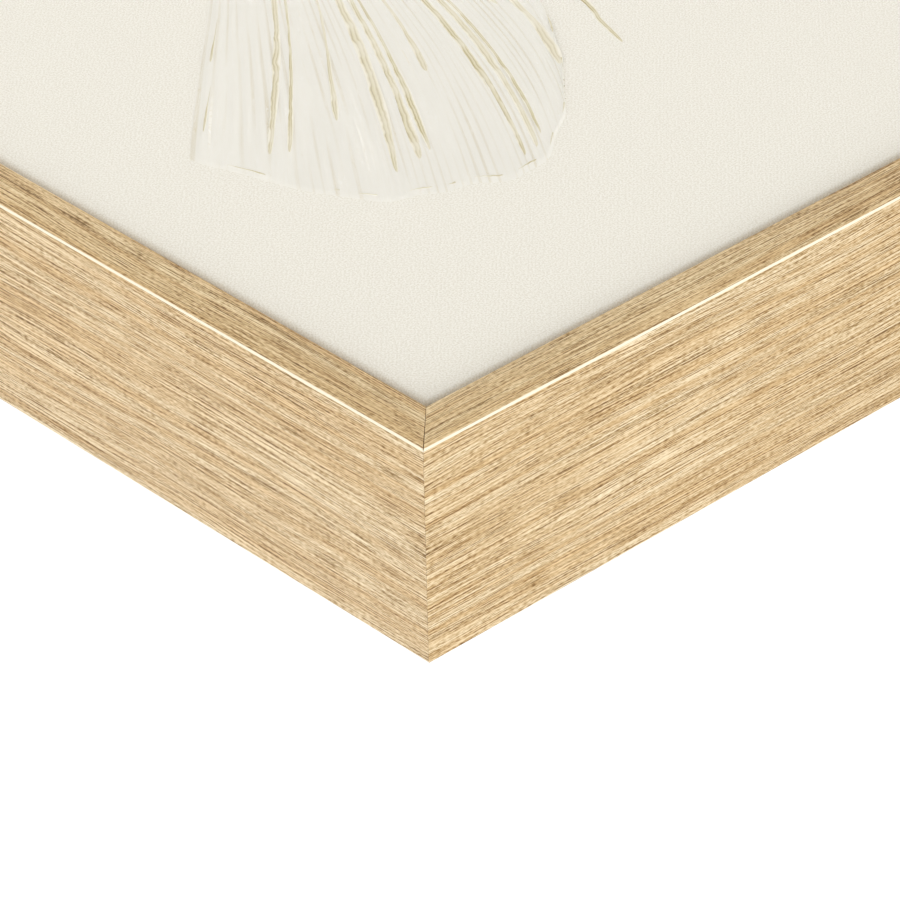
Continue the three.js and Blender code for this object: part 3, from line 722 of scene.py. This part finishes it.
class Petal:
    """One petal or leaf as a surface: along it from 0 at the eye to 1, across it from -1 to 1."""

    def __init__(self, root, bearing, length, half_width, bend, fan, seed):
        self.root = root
        angle = math.radians(bearing)
        self.out = np.array([math.cos(angle), math.sin(angle)])
        self.left = np.array([-math.sin(angle), math.cos(angle)])
        self.length = length * MM
        self.half_width = half_width * MM
        self.bend = bend * self.length
        self.fan = fan
        draw = np.random.default_rng(seed)
        self.pitches = draw.uniform(0.55, 1.15, COMB_ROWS) / (1.9 * MM)
        self.phases = draw.uniform(0, 2 * math.pi, (COMB_ROWS, 3))
        self.lobes = draw.uniform(0, 2 * math.pi, 3)

    def width(self, along):
        """Half the petal's width: a fan that opens and rounds off, or a leaf pointed at both ends."""
        fan = along**0.66 * (1 - 0.14 * along**4)
        leaf = np.sin(math.pi * np.clip(along, 0, 1)) ** 0.8
        return self.half_width * (self.fan * fan + (1 - self.fan) * leaf)

    def reach(self, across):
        """How far the petal's end is from its root: rounded, with small uneven lobes."""
        lobes = np.sin(4 * across + self.lobes[0]) + 0.6 * np.sin(9 * across + self.lobes[1])
        lobes = lobes + 0.3 * np.sin(23 * across + self.lobes[2])
        return self.length * (1 - self.fan * (0.30 * np.abs(across) ** 2.3 + 0.012 * lobes))

    def place(self, along, across):
        """Where a point of the petal is in the canvas's plane."""
        out = self.reach(across) * along
        aside = self.width(along) * across + self.bend * along**2
        x = BLOOM.x + self.root[0] * MM + out * self.out[0] + aside * self.left[0]
        z = BLOOM.z + self.root[1] * MM + out * self.out[1] + aside * self.left[1]
        return x, z

    def comb(self, along, across):
        """Marks of the comb: uneven lines that run out from the eye, deeper and shallower by turns."""
        aside = across * self.half_width
        marks = 0
        for pitch, (first, second, third) in zip(self.pitches, self.phases):
            drift = 0.8 * np.sin(5 * along + first) + 0.5 * np.sin(13 * along + second)
            depth = np.clip(0.5 + 0.8 * np.sin(7 * along + 5 * across + third), 0, 1)
            marks = marks + depth * np.sin(2 * math.pi * pitch * aside + drift + first)
        return marks / COMB_ROWS

    def laid(self, along, across):
        """Where a point of the petal's paste is, which stops a little short of the root and the end."""
        start, share = (0.02, 0.98) if self.fan else (0.003, 0.994)
        return self.place(start + share * along, across)

    def height(self, along, across):
        """The thickness of the paste: a sloped edge with a lip, comb marks and a slow swell."""
        half = np.maximum(self.width(along), 1e-6)
        rim = np.minimum((1 - np.abs(across)) * half, (1 - along) * self.length)
        rim = np.maximum(np.minimum(rim, along * self.length * 0.4), 0)
        edge = np.clip(rim / PASTE_SLOPE, 0, 1)
        edge = edge * edge * (3 - 2 * edge)
        lip = PASTE_RIM * np.exp(-(((rim - 1.6 * MM) / (0.9 * MM)) ** 2))
        crowding = np.clip(self.width(along) / self.half_width, 0, 1)
        combed = COMB_DEPTH * self.comb(along, across) * crowding
        swell = 0.10 * MM * np.sin(3 * along + 2 * across + self.lobes[0])
        return edge * (PASTE + lip + combed + swell)


def closed_patch(place, height, floor_height, rows, columns):
    """A raised patch over a grid, with its rim and its flat underside on floor_height."""
    along, across = np.meshgrid(np.linspace(0, 1, rows), np.linspace(-1, 1, columns), indexing="ij")
    x, z, raised, under = *place(along, across), height(along, across), floor_height(along, across)
    rim = np.zeros_like(along, dtype=bool)
    rim[[0, -1], :] = True
    rim[:, [0, -1]] = True
    y = CANVAS_FRONT - np.where(rim, under, np.maximum(raised, under + 0.01 * MM))
    vertices = np.stack([x, y, z], axis=-1).reshape(-1, 3)
    index = np.arange(rows * columns).reshape(rows, columns)
    top = np.stack([index[:-1, :-1], index[:-1, 1:], index[1:, 1:], index[1:, :-1]], axis=-1).reshape(-1, 4)
    faces = [tuple(face) for face in top.tolist()]
    faces += [(index[k, 0], index[k + 1, 0], index[k + 1, -1], index[k, -1]) for k in range(1, rows - 2)]
    faces.append((index[1, -1], *reversed(index[0].tolist()), index[1, 0]))
    faces.append((index[-2, 0], *index[-1].tolist(), index[-2, -1]))
    return vertices, faces, along.ravel(), across.ravel()


def paste_material():
    """Gesso paste combed while wet: chalky white, fine brush lines with painted shade in their hollows, and a
    faint ochre tint in patches along the deepest comb marks.
    """
    material, tree, shader = new_material("gesso paste, combed", roughness=0.62)
    brushed = add_node(tree, "ShaderNodeAttribute", attribute_name="brushed").outputs["Vector"]
    split = add_node(tree, "ShaderNodeSeparateXYZ", {0: brushed})
    patterns = []
    for stretch, detail, roughness in (
        (per_mm(0.05, 1.5, 1.0), 3.0, 0.65), (per_mm(0.03, 0.34, 1.0), 2.0, 0.5),
    ):
        place = add_node(tree, "ShaderNodeVectorMath", {0: brushed, 1: stretch}, operation="MULTIPLY")
        patterns.append(add_node(tree, "ShaderNodeTexNoise", {
            "Vector": place, "Scale": 1.0, "Detail": detail, "Roughness": roughness}))
    lines, long_marks = patterns
    groove = add_node(tree, "ShaderNodeMapRange", {
        "Value": split.outputs[2], "From Min": -0.12, "From Max": -0.42})
    thin = add_node(tree, "ShaderNodeMapRange", {"Value": long_marks, "From Min": 0.44, "From Max": 0.62})
    groove_tint = add_node(tree, "ShaderNodeMath", {0: groove, 1: thin}, operation="MULTIPLY")
    # The low parts of the brush lines take the darker chalk tone: painted shade.
    chalk = add_node(tree, "ShaderNodeValToRGB", {"Fac": lines})
    set_ramp(chalk, [(0.30, "#ECE7DA"), (0.50, "#F6F4EC"), (0.66, "#FEFDFA")])
    colour = add_node(
        tree, "ShaderNodeMix", {"Factor": groove_tint, 6: chalk, 7: linear("#DAD0B4")}, data_type="RGBA")
    bump = add_node(tree, "ShaderNodeBump", {"Height": lines, "Strength": 0.6, "Distance": 0.2 * MM})
    feed(tree, shader, {"Base Color": colour, "Normal": bump})
    return material


gesso = paste_material()
petals = {}
for number, (name, shape) in enumerate(PETALS.items()):
    petal = petals[name] = Petal(*shape, seed=40 + number)
    rows, columns = (170, 250) if petal.fan else (150, 110)
    vertices, faces, along, across = closed_patch(
        petal.laid, petal.height, lambda along, across: np.full_like(along, -BEDDED), rows, columns)
    patch = new_piece("relief_" + name, vertices, faces)
    outward_normals(patch)
    aside = across * petal.width(np.maximum(along, 0.3)) + number
    brushed = np.stack([along * petal.length, aside, petal.comb(along, across)], axis=-1)
    write_attribute(patch, "brushed", "FLOAT_VECTOR", "POINT", brushed)
    finish(patch, [gesso], PAINT_CREASE, "frame", "primed_canvas")

# The ochre strokes: thin lines brushed outwards along each petal, some in pairs, and broken lines round
# its edge.
STROKE_WIDTH = 2.1 * MM
STROKE_HEIGHT = 0.11 * MM
STROKES_PER_PETAL = 9
STROKE_COLUMNS = 11
OUTLINE_WIDTH = 0.6 * MM
stroke_draw = np.random.default_rng(7)


def ribbon(centre, ground, width, rows, key):
    """A low stroke of paint along a line in the canvas's plane: fine at its start, rounded at its end,
    and a little uneven where the brush was pressed."""
    pressed = stroke_draw.uniform(0, 2 * math.pi, 2)

    def place(along, across):
        x, z = centre(along)
        ahead_x, ahead_z = centre(along + 0.002)
        back_x, back_z = centre(along - 0.002)
        step_x, step_z = ahead_x - back_x, ahead_z - back_z
        size = np.maximum(np.hypot(step_x, step_z), 1e-9)
        share = np.clip(along, 0, 1)
        half = width / 2 * (0.12 + 0.88 * share**0.9) * np.sqrt(1.02 - share**16)
        half = half * (1 + 0.20 * np.sin(8 * share + pressed[0]) + 0.10 * np.sin(23 * share + pressed[1]))
        return x - step_z / size * half * across, z + step_x / size * half * across

    def under(along, across):
        return ground(along, across, *place(along, across)) - BEDDED

    def over(along, across):
        ridge = 0.45 + 0.55 * np.sin(math.pi * np.abs(across))
        return under(along, across) + BEDDED + STROKE_HEIGHT * ridge * (0.35 + 0.65 * along)

    vertices, faces, along, across = closed_patch(place, over, under, rows, STROKE_COLUMNS)
    return vertices, faces, np.stack([along, across, np.full_like(along, key)], axis=-1)


def petal_stroke(petal, start, finish, first, last, curl, width, key=0.0, rows=90):
    """A stroke that rides over a petal's paste. The higher its key, the thinner its paint."""

    def spot(along):
        t = first + (last - first) * along
        return t, start + (finish - start) * along + curl * along * (1 - along)

    def ground(along, across, x, z):
        t, v = spot(along)
        return petal.height(np.clip(t, 0, 1), np.clip(v, -1, 1))

    return ribbon(lambda along: petal.place(*spot(along)), ground, width, rows, key)


def petal_outline(petal):
    """A broken thin line of paint round a petal's edge."""
    dashes = []
    for side in (-1, 1):
        first = 0.30
        while first < 0.9:
            last = first + stroke_draw.uniform(0.05, 0.22)
            edge = (0.955 * side, 0.965 * side)
            dashes.append(petal_stroke(petal, *edge, first, min(last, 0.95), 0, OUTLINE_WIDTH, rows=40))
            first = last + stroke_draw.uniform(0.02, 0.1)
    spot = -0.9
    while spot < 0.88:
        length = stroke_draw.uniform(0.02, 0.13)
        dashes.append(petal_stroke(petal, spot, spot + length, 0.985, 0.985, 0, 0.55 * MM, rows=14))
        spot += length + stroke_draw.uniform(0.03, 0.2)
    return dashes


def tendril(bearing, length, hook, width):
    """A fine curled line on the bare canvas between two petals, with a small hook at its end."""
    angle = math.radians(bearing)

    def centre(along):
        turn = angle + hook * 0.22 * along**2
        curl = hook * 2.6 * np.clip(along - 0.86, 0, None)
        x = BLOOM.x + (BLOOM_EYE + length * MM * along) * np.cos(turn) - 9 * MM * curl * np.sin(turn)
        z = BLOOM.z + (BLOOM_EYE + length * MM * along) * np.sin(turn) + 9 * MM * curl * np.cos(turn)
        drop = 60 * MM * np.clip(along - 0.9, 0, None) ** 1.2 * hook
        return x + drop * np.sin(angle), z - drop * np.cos(angle)

    return ribbon(centre, lambda along, across, x, z: np.zeros_like(x), width, 90, 0.0)


def ochre_material():
    """Thinned ochre drawn with a flat brush: the paint gathers in two uneven darker lines, one stronger
    than the other, with a pale middle and soft edges, and the start of each stroke fades out."""
    material, tree, shader = new_material("ochre paint, brushed thin", roughness=0.5)
    stroke = add_node(tree, "ShaderNodeAttribute", attribute_name="stroke").outputs["Vector"]
    along, across, key = add_node(tree, "ShaderNodeSeparateXYZ", {0: stroke}).outputs
    place = add_node(tree, "ShaderNodeTexCoord").outputs["Object"]
    blots = add_node(tree, "ShaderNodeTexNoise", {
        "Vector": place, "Scale": 0.9 / MM, "Detail": 3.0, "Roughness": 0.6})
    waver = add_node(tree, "ShaderNodeTexNoise", {"Vector": place, "Scale": 0.16 / MM, "Detail": 2.0})
    uneven = add_node(tree, "ShaderNodeMath", {0: blots, 1: 0.16, 2: waver}, operation="MULTIPLY_ADD")
    shifted = add_node(tree, "ShaderNodeMath", {0: uneven, 1: 0.8, 2: 0.04}, operation="MULTIPLY_ADD")
    gathered = add_node(tree, "ShaderNodeMath", {0: across, 1: 0.5, 2: shifted}, operation="MULTIPLY_ADD")
    paint = add_node(tree, "ShaderNodeValToRGB", {"Fac": gathered})
    set_ramp(paint, [
        (0.06, "#F0ECE0"), (0.20, "#DCD4B6"), (0.29, "#A19165"), (0.38, "#CCC29B"),
        (0.56, "#DFD8BE"), (0.67, "#B7AA7F"), (0.76, "#D9D1B4"), (0.94, "#F0ECE0"),
    ])
    fade = add_node(tree, "ShaderNodeMapRange", {"Value": along, "From Max": 0.6, "To Min": 0.15})
    thinned = add_node(tree, "ShaderNodeMath", {0: key, 1: -0.7, 2: 1.0}, operation="MULTIPLY_ADD")
    loaded = add_node(tree, "ShaderNodeMapRange", {
        "Value": waver, "From Min": 0.36, "From Max": 0.56, "To Min": 0.5})
    whole = add_node(tree, "ShaderNodeMath", {0: fade, 1: thinned}, operation="MULTIPLY")
    strength = add_node(tree, "ShaderNodeMath", {0: whole, 1: loaded}, operation="MULTIPLY")
    colour = add_node(
        tree, "ShaderNodeMix", {"Factor": strength, 6: linear("#EDE9DC"), 7: paint}, data_type="RGBA")
    bump = add_node(tree, "ShaderNodeBump", {"Height": blots, "Strength": 0.3, "Distance": 0.08 * MM})
    feed(tree, shader, {"Base Color": colour, "Normal": bump})
    return material


def painted(name, patches):
    """Several closed strokes as one piece of ochre paint."""
    vertices = []
    faces = []
    values = []
    for patch_vertices, patch_faces, patch_values in patches:
        start = len(vertices)
        vertices += patch_vertices.tolist()
        faces += [tuple(int(k) + start for k in face) for face in patch_faces]
        values += patch_values.tolist()
    piece = new_piece(name, vertices, faces)
    write_attribute(piece, "stroke", "FLOAT_VECTOR", "POINT", values)
    outward_normals(piece)
    finish(piece, [ochre], PAINT_CREASE, "frame", "primed_canvas")
    return piece


ochre = ochre_material()
for name, petal in petals.items():
    patches = []
    if petal.fan:
        scatter = stroke_draw.uniform(-0.07, 0.07, STROKES_PER_PETAL)
        for turn, spot in enumerate(np.linspace(-0.80, 0.80, STROKES_PER_PETAL) + scatter):
            long_stroke = turn % 3 != 1
            first = stroke_draw.uniform(0.02, 0.12) if long_stroke else stroke_draw.uniform(0.25, 0.45)
            last = stroke_draw.uniform(0.9, 0.975) if long_stroke else stroke_draw.uniform(0.6, 0.8)
            width = STROKE_WIDTH * stroke_draw.uniform(0.8, 1.35) * (1.0 if long_stroke else 0.7)
            curl = stroke_draw.uniform(-0.12, 0.12)
            course = (petal, spot * 0.75, spot, first, last, curl)
            patches.append(petal_stroke(*course, width, key=stroke_draw.uniform(0, 0.7)))
            if turn % 3 == 0:
                twin = spot + 0.055
                course = (petal, twin * 0.75, twin, first + 0.1, last - 0.02, curl)
                patches.append(petal_stroke(*course, width * 0.6))
        patches += petal_outline(petal)
    else:
        width = min(STROKE_WIDTH, petal.half_width * 0.5)
        patches.append(petal_stroke(petal, 0.0, 0.0, 0.02, 0.96, 0.05, width))
    if name.startswith("leaf"):
        for turn in range(1, 8):
            first = 0.09 + 0.1 * turn
            last = min(first + 0.16, 0.95)
            for way in (-1, 1):
                vein = (petal, 0.05 * way, 0.78 * way, first, last, 0.0, STROKE_WIDTH * 0.45)
                patches.append(petal_stroke(*vein, rows=40))
    painted("ochre_strokes_" + name, patches)

# Each line between the petals: its bearing from the eye, its length, and which way its end hooks.
TENDRILS = [
    (102, 112, -1), (108, 88, 1), (172, 104, -1), (177, 84, 1), (238, 96, -1), (245, 76, 1), (304, 80, -1),
    (22, 62, -1), (28, 50, 1),
]
painted("ochre_tendrils", [tendril(*line, STROKE_WIDTH * 0.9) for line in TENDRILS])

# The eye of the bloom: dabs of paste in the spiral of a seed head; and the small dark dots of paint
# caught along each petal's end.
EYE_DABS = 90
DAB = 0.85 * MM
DAB_HEIGHT = 0.75 * MM
DOT = 0.34 * MM
DOT_HEIGHT = 0.16 * MM
DOT_SPACING = 2.4 * MM
DAB_CREASE = 80
GOLDEN_ANGLE = math.pi * (3 - math.sqrt(5))


def one_dab(name, width, height):
    """A low round dab that stands on the plane y = 0, towards the viewer, bedded a hair behind it."""
    one = new_piece(name, [], [])
    with worked(one) as form:
        bmesh.ops.create_icosphere(form, subdivisions=2, radius=1.0)
        for vertex in form.verts:
            depth = height if vertex.co.y < 0 else BEDDED
            vertex.co = Vector((vertex.co.x * width, vertex.co.y * depth, vertex.co.z * width))
    return one


def seed_head_tree():
    """Copies of one object on a golden-angle spiral round a point, larger towards the outside."""
    tree, given, end = fresh_tree(
        "seed head", Copy="Object", Count="Int", Radius="Float", Seed="Int", Material="Material")
    line = add_node(tree, "GeometryNodeMeshLine", {"Count": given["Count"], "Offset": (0, 0, 0)})
    number = add_node(tree, "GeometryNodeInputIndex")
    share = add_node(tree, "ShaderNodeMath", {0: number, 1: given["Count"]}, operation="DIVIDE")
    root = add_node(tree, "ShaderNodeMath", {0: share}, operation="SQRT")
    distance = add_node(tree, "ShaderNodeMath", {0: root, 1: given["Radius"]}, operation="MULTIPLY")
    angle = add_node(tree, "ShaderNodeMath", {0: number, 1: GOLDEN_ANGLE}, operation="MULTIPLY")
    turn = add_node(tree, "FunctionNodeAxisAngleToRotation", {"Axis": (0, 1, 0), "Angle": angle})
    outwards = add_node(tree, "ShaderNodeCombineXYZ", {"X": distance})
    spot = add_node(tree, "FunctionNodeRotateVector", {0: outwards, 1: turn})
    position = add_node(tree, "GeometryNodeInputPosition")
    middle = add_node(
        tree, "GeometryNodeSampleIndex", {0: given["Geometry"], 1: position, "Index": 0},
        data_type="FLOAT_VECTOR", domain="POINT")
    placed = add_node(tree, "ShaderNodeVectorMath", {0: spot, 1: middle}, operation="ADD")
    moved = add_node(tree, "GeometryNodeSetPosition", {"Geometry": line, "Position": placed})
    least = add_node(tree, "ShaderNodeMath", {0: root, 1: 0.5, 2: 0.35}, operation="MULTIPLY_ADD")
    size = add_node(tree, "FunctionNodeRandomValue", {2: least, 3: 1.0, "Seed": given["Seed"]})
    copy = add_node(tree, "GeometryNodeObjectInfo", {"Object": given["Copy"]}).outputs["Geometry"]
    copies = add_node(
        tree, "GeometryNodeInstanceOnPoints", {"Points": moved, "Instance": copy, "Scale": size})
    return end_tree(tree, given, end, copies)


def mottled_material(name, roughness, mottle, tones, strength, relief_depth):
    """An even paint or rubber, lower in patches and painted a little darker there as shade, mottle to the
    millimetre.
    """
    material, tree, shader = new_material(name, roughness=roughness)
    place = add_node(tree, "ShaderNodeTexCoord").outputs["Object"]
    blots = add_node(tree, "ShaderNodeTexNoise", {
        "Vector": place, "Scale": mottle / MM, "Detail": 3.0, "Roughness": 0.6})
    # One pattern sets both the colour and the bump: its low patches take the darker tone, as painted shade.
    tone = add_node(tree, "ShaderNodeValToRGB", {"Fac": blots})
    set_ramp(tone, tones)
    bump = add_node(tree, "ShaderNodeBump", {"Height": blots, "Strength": strength, "Distance": relief_depth})
    feed(tree, shader, {"Base Color": tone, "Normal": bump})
    return material


# Dabs and dots of stiff paint look rounded and soft, with painted shade in their hollows.
tinted_gesso = mottled_material(
    "gesso dabs, tinted ochre", 0.5, 1.6, [(0.32, "#B9AB7D"), (0.6, "#E4DCBF")], 0.4, 0.1 * MM)
dot_paint = mottled_material(
    "umber paint, dotted", 0.5, 1.6, [(0.32, "#8A7648"), (0.6, "#A8935F")], 0.4, 0.1 * MM)
dab = one_dab("one_dab", DAB, DAB_HEIGHT)
eye_base = path_mesh("eye_middle", [(BLOOM.x, CANVAS_FRONT, BLOOM.z)])
eye = grown(eye_base, seed_head_tree(), {
    "Copy": dab, "Count": EYE_DABS, "Radius": BLOOM_EYE - 1 * MM, "Seed": 3, "Material": tinted_gesso,
}, "bloom_eye")
finish(eye, [], DAB_CREASE, "frame", "primed_canvas")
bpy.data.objects.remove(dab)

dot = one_dab("one_dot", DOT, DOT_HEIGHT)
for name, petal in petals.items():
    if not petal.fan:
        continue
    across = np.linspace(-0.95, 0.95, 120)
    x, z = petal.place(np.full_like(across, 0.992), across)
    edge = path_mesh("petal_end", [(a, CANVAS_FRONT, b) for a, b in zip(x, z)])
    dots = grown(edge, copies_tree, {
        "Copy": dot, "Spacing": DOT_SPACING, "Askew": 1.0, "Smallest": 0.45, "Kept": 0.5,
        "Seed": 70 + list(petals).index(name), "Material": dot_paint,
    }, "edge_dots_" + name)
    finish(dots, [], DAB_CREASE, "frame", "primed_canvas")
bpy.data.objects.remove(dot)

# ---- Screws ----
# Zinc-plated pan-head screws with a cross recess: two through each ledge into the stretcher bar, and
# two for each hanger. Only the heads show.

SCREW_HEAD = 7 * MM
SCREW_SHANK = 3.5 * MM
CROSS_WIDTH = 1.0 * MM
CROSS_SPAN = 4.2 * MM
CROSS_DEPTH = 1.3 * MM
SHANK_SHOWN = 3 * MM
HEAD_SIDE = 0.32  # how much of a head's height is its upright side
HEAD_SEGMENTS = 40
SCREW_CREASE = 32
STRAP_THICKNESS = 2 * MM


def turned(name, profile, segments):
    """A turned piece about +Y from its half profile, as [radius, height], from one pole to the other."""
    rings = profile[1:-1]
    vertices = [(0, profile[0][1], 0), (0, profile[-1][1], 0)]
    for radius, height in rings:
        for step in range(segments):
            angle = 2 * math.pi * step / segments
            vertices.append((radius * math.cos(angle), height, radius * math.sin(angle)))
    last = (len(rings) - 1) * segments
    faces = []
    for step in range(segments):
        here = 2 + step
        there = 2 + (step + 1) % segments
        faces.append((0, here, there))
        for low in range(0, last, segments):
            faces.append((low + here, low + there, low + segments + there, low + segments + here))
        faces.append((1, last + there, last + here))
    piece = new_piece(name, vertices, faces)
    outward_normals(piece)
    return piece


def pan_head(height):
    """A screw that stands on the plane y = 0 with its cross recess towards +Y."""
    radius = SCREW_HEAD / 2
    side = height * HEAD_SIDE
    profile = [
        (0, -SHANK_SHOWN), (SCREW_SHANK / 2, -SHANK_SHOWN), (SCREW_SHANK / 2, 0), (radius - 0.15 * MM, 0),
        (radius, 0.15 * MM), (radius, side),
    ]
    for angle in quarter(7)[1:]:
        crown = (height - side) * math.sin(angle) * 0.93
        profile.append((radius - 1.5 * MM * (1 - math.cos(angle)), side + crown))
    profile += [(radius * 0.3, height * 0.985), (0, height)]
    screw = turned("one_screw", profile, HEAD_SEGMENTS)

    crosses = []
    for y, a, b in (
        (height - CROSS_DEPTH, 0.21 * CROSS_SPAN, 0.35 * CROSS_WIDTH),
        (height + 0.4 * MM, CROSS_SPAN / 2, CROSS_WIDTH / 2),
    ):
        plan = [
            (b, b), (a, b), (a, -b), (b, -b), (b, -a), (-b, -a),
            (-b, -b), (-a, -b), (-a, b), (-b, b), (-b, a), (b, a),
        ]
        crosses.append([(x, y, z) for x, z in plan])
    punch = prism("cross_punch", *crosses)
    cut = screw.modifiers.new("cross", "BOOLEAN")
    cut.object = punch
    cut.solver = "EXACT"
    graph = bpy.context.evaluated_depsgraph_get()
    struck = bpy.data.meshes.new_from_object(screw.evaluated_get(graph), depsgraph=graph)
    screw.modifiers.clear()
    screw.data = struck
    bpy.data.objects.remove(punch)
    return screw


def turned_copies_tree():
    """A copy of one object at each point of a mesh, each turned by chance about +Y."""
    tree, given, end = fresh_tree("copies turned by chance", Copy="Object", Seed="Int", Material="Material")
    angle = add_node(tree, "FunctionNodeRandomValue", {2: 0.0, 3: math.pi, "Seed": given["Seed"]})
    turn = add_node(tree, "FunctionNodeAxisAngleToRotation", {"Axis": (0, 1, 0), "Angle": angle})
    copy = add_node(tree, "GeometryNodeObjectInfo", {"Object": given["Copy"]}).outputs["Geometry"]
    copies = add_node(tree, "GeometryNodeInstanceOnPoints", {
        "Points": given["Geometry"], "Instance": copy, "Rotation": turn})
    return end_tree(tree, given, end, copies)


screws_tree = turned_copies_tree()
plated_screw = plated_material("zinc-plated steel, turned", "#C9C6B8", 0.3, 3.0)
strap_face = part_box("hanger_strap_left")[0][1] + STRAP_THICKNESS
for family, seat in (("fixing_screw", BACK_Y), ("strap_screw", strap_face)):
    nodes = [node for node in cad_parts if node.startswith(family)]
    seats = []
    for node in nodes:
        low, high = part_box(node)
        seats.append(((low[0] + high[0]) / 2, seat, (low[2] + high[2]) / 2))
    one = pan_head(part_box(nodes[0])[1][1] - seat)
    base = path_mesh(family + "_points", seats)
    screws = grown(base, screws_tree, {"Copy": one, "Seed": 5, "Material": plated_screw}, family + "s")
    finish(screws, [], SCREW_CREASE, "frame", "steel", *nodes)
    bpy.data.objects.remove(one)

# ---- Strap hangers and D-rings ----
# A strip of zinc-plated steel folded round the straight side of a wire D-ring, and screwed to the
# back of each upright rail. The ring swings in the fold.

STRAP_ROUNDING = 0.22 * MM
FOLD = math.radians(60)
ALL_SMOOTH = 180
bright_zinc = plated_material("zinc-plated steel strip, folded", "#C4C2B6", 0.3, 2.0)
ring_wire = plated_material("zinc-plated steel wire, bent", "#CBC9BE", 0.24, 2.4)
for side in ("left", "right"):
    strap = merged_copy("hanger_strap_" + side, "hanger_strip_" + side)
    bevel_edges(strap, STRAP_ROUNDING, 2, lambda edge: (
        edge.is_convex and edge.calc_face_angle(0) > FOLD and edge.calc_length() > 0.8 * MM))
    finish(strap, [bright_zinc], 40, "frame", "zinc_plate", "hanger_strap_" + side)

    ring = merged_copy("d_ring_" + side, "d_ring_wire_" + side)
    with worked(ring) as form:
        bmesh.ops.join_triangles(
            form, faces=form.faces, angle_face_threshold=FOLD, angle_shape_threshold=FOLD)
    rounding = ring.modifiers.new("rounding", "SUBSURF")
    rounding.levels = 1
    rounding.render_levels = 1
    finish(ring, [ring_wire], ALL_SMOOTH, "d_ring_" + side, "zinc_plate", "d_ring_" + side)

# ---- Wall bumpers ----
# Soft clear-grey rubber domes, self-adhesive, in the lower corners of the back. They keep the frame
# off the wall.

BUMPER_FOOT = 1.3 * MM  # the height of its upright edge
BUMPER_SEGMENTS = 48

# Moulded silicone looks cloudy and dull, with a slight haze in the grey and painted shade in the low patches
# of its bump.
silicone = mottled_material(
    "silicone rubber, moulded", 0.45, 1.5, [(0.3, "#83827D"), (0.7, "#999893")], 0.2, 0.05 * MM)
for side in ("left", "right"):
    low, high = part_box("bumper_" + side)
    radius = (high[0] - low[0]) / 2
    dome = high[1] - low[1] - BUMPER_FOOT
    profile = [(0, 0), (radius - 0.25 * MM, 0), (radius, 0.25 * MM), (radius, BUMPER_FOOT - 0.2 * MM)]
    for angle in quarter(12)[:-1]:
        profile.append((radius * math.cos(angle) ** 0.9 * 0.975, BUMPER_FOOT + dome * math.sin(angle)))
    profile.append((0, BUMPER_FOOT + dome))
    bumper = turned("rubber_bumper_" + side, profile, BUMPER_SEGMENTS)
    bumper.data.transform(Matrix.Translation(((low[0] + high[0]) / 2, low[1], (low[2] + high[2]) / 2)))
    finish(bumper, [silicone], 45, "frame", "rubber", "bumper_" + side)

# ---- Studio ----
# A plain pale floor and soft daylight from above, the front and the right, with a little from behind.
# The camera looks down on the upper right corner with a long lens, turned so that this corner points
# at the viewer.

FLOOR_REACH = 8.0
ROOM_LIGHT = 0.42

floor_corners = [(sx * FLOOR_REACH, sy * FLOOR_REACH, 0) for sx, sy in ((-1, -1), (1, -1), (1, 1), (-1, 1))]
floor = new_piece("floor", floor_corners, [(0, 1, 2, 3)])
pale_floor, _, _ = new_material("pale matt floor", base_color=linear("#F4F3F1"), roughness=0.9)
floor.data.materials.append(pale_floor)

world = bpy.data.worlds.new("soft white room")
bpy.context.scene.world = world
world.use_nodes = True
room = world.node_tree
room_light = room.nodes["Background"]
feed(room, room_light, {"Color": linear("#FFFCF5"), "Strength": ROOM_LIGHT})
backdrop = add_node(room, "ShaderNodeBackground", {"Color": linear("#FFFFFF"), "Strength": 1.0})
straight = add_node(room, "ShaderNodeLightPath").outputs["Is Camera Ray"]
shown = add_node(room, "ShaderNodeMixShader", {0: straight, 1: room_light, 2: backdrop})
feed(room, room.nodes["World Output"], {"Surface": shown})


def soft_light(name, towards, brightness, softness):
    """A soft light that comes from one direction, bright enough to add brightness to a white face
    that looks straight at it."""
    light = bpy.data.lights.new(name, "SUN")
    light.energy = brightness * math.pi
    light.angle = math.radians(softness)
    lamp = bpy.data.objects.new(name, light)
    lamp.rotation_euler = Vector(towards).to_track_quat("Z", "Y").to_euler()
    bpy.context.scene.collection.objects.link(lamp)


soft_light("overhead softbox", (-0.15, -0.24, 0.96), 0.74, 40)
soft_light("right softbox", (0.93, -0.12, 0.30), 0.45, 50)
soft_light("back fill", (-0.15, 0.95, 0.10), 0.24, 60)

LENS = 207
SENSOR = 36
DISTANCE = 0.887
AZIMUTH = math.radians(45.24)
ELEVATION = math.radians(38.23)
ROLL = math.radians(119.94)
AIM_SHIFT = Vector((-3.4 * MM, 0, 3.1 * MM))

corner = Vector((HALF_WIDTH, FRONT_Y, HEIGHT))
away = Vector((
    math.cos(ELEVATION) * math.sin(AZIMUTH), -math.cos(ELEVATION) * math.cos(AZIMUTH), math.sin(ELEVATION)
))
lens = bpy.data.cameras.new("camera")
lens.sensor_width = SENSOR
lens.lens = LENS
lens.clip_start = 0.01
lens.clip_end = 50
camera = bpy.data.objects.new("camera", lens)
bpy.context.scene.collection.objects.link(camera)
camera.location = corner + away * DISTANCE
sight = corner + AIM_SHIFT - camera.location
level = sight.to_track_quat("-Z", "Y").to_matrix()
camera.rotation_euler = (level @ Matrix.Rotation(ROLL, 3, "Z")).to_euler()
bpy.context.scene.camera = camera
bpy.context.scene.view_settings.view_transform = "Standard"
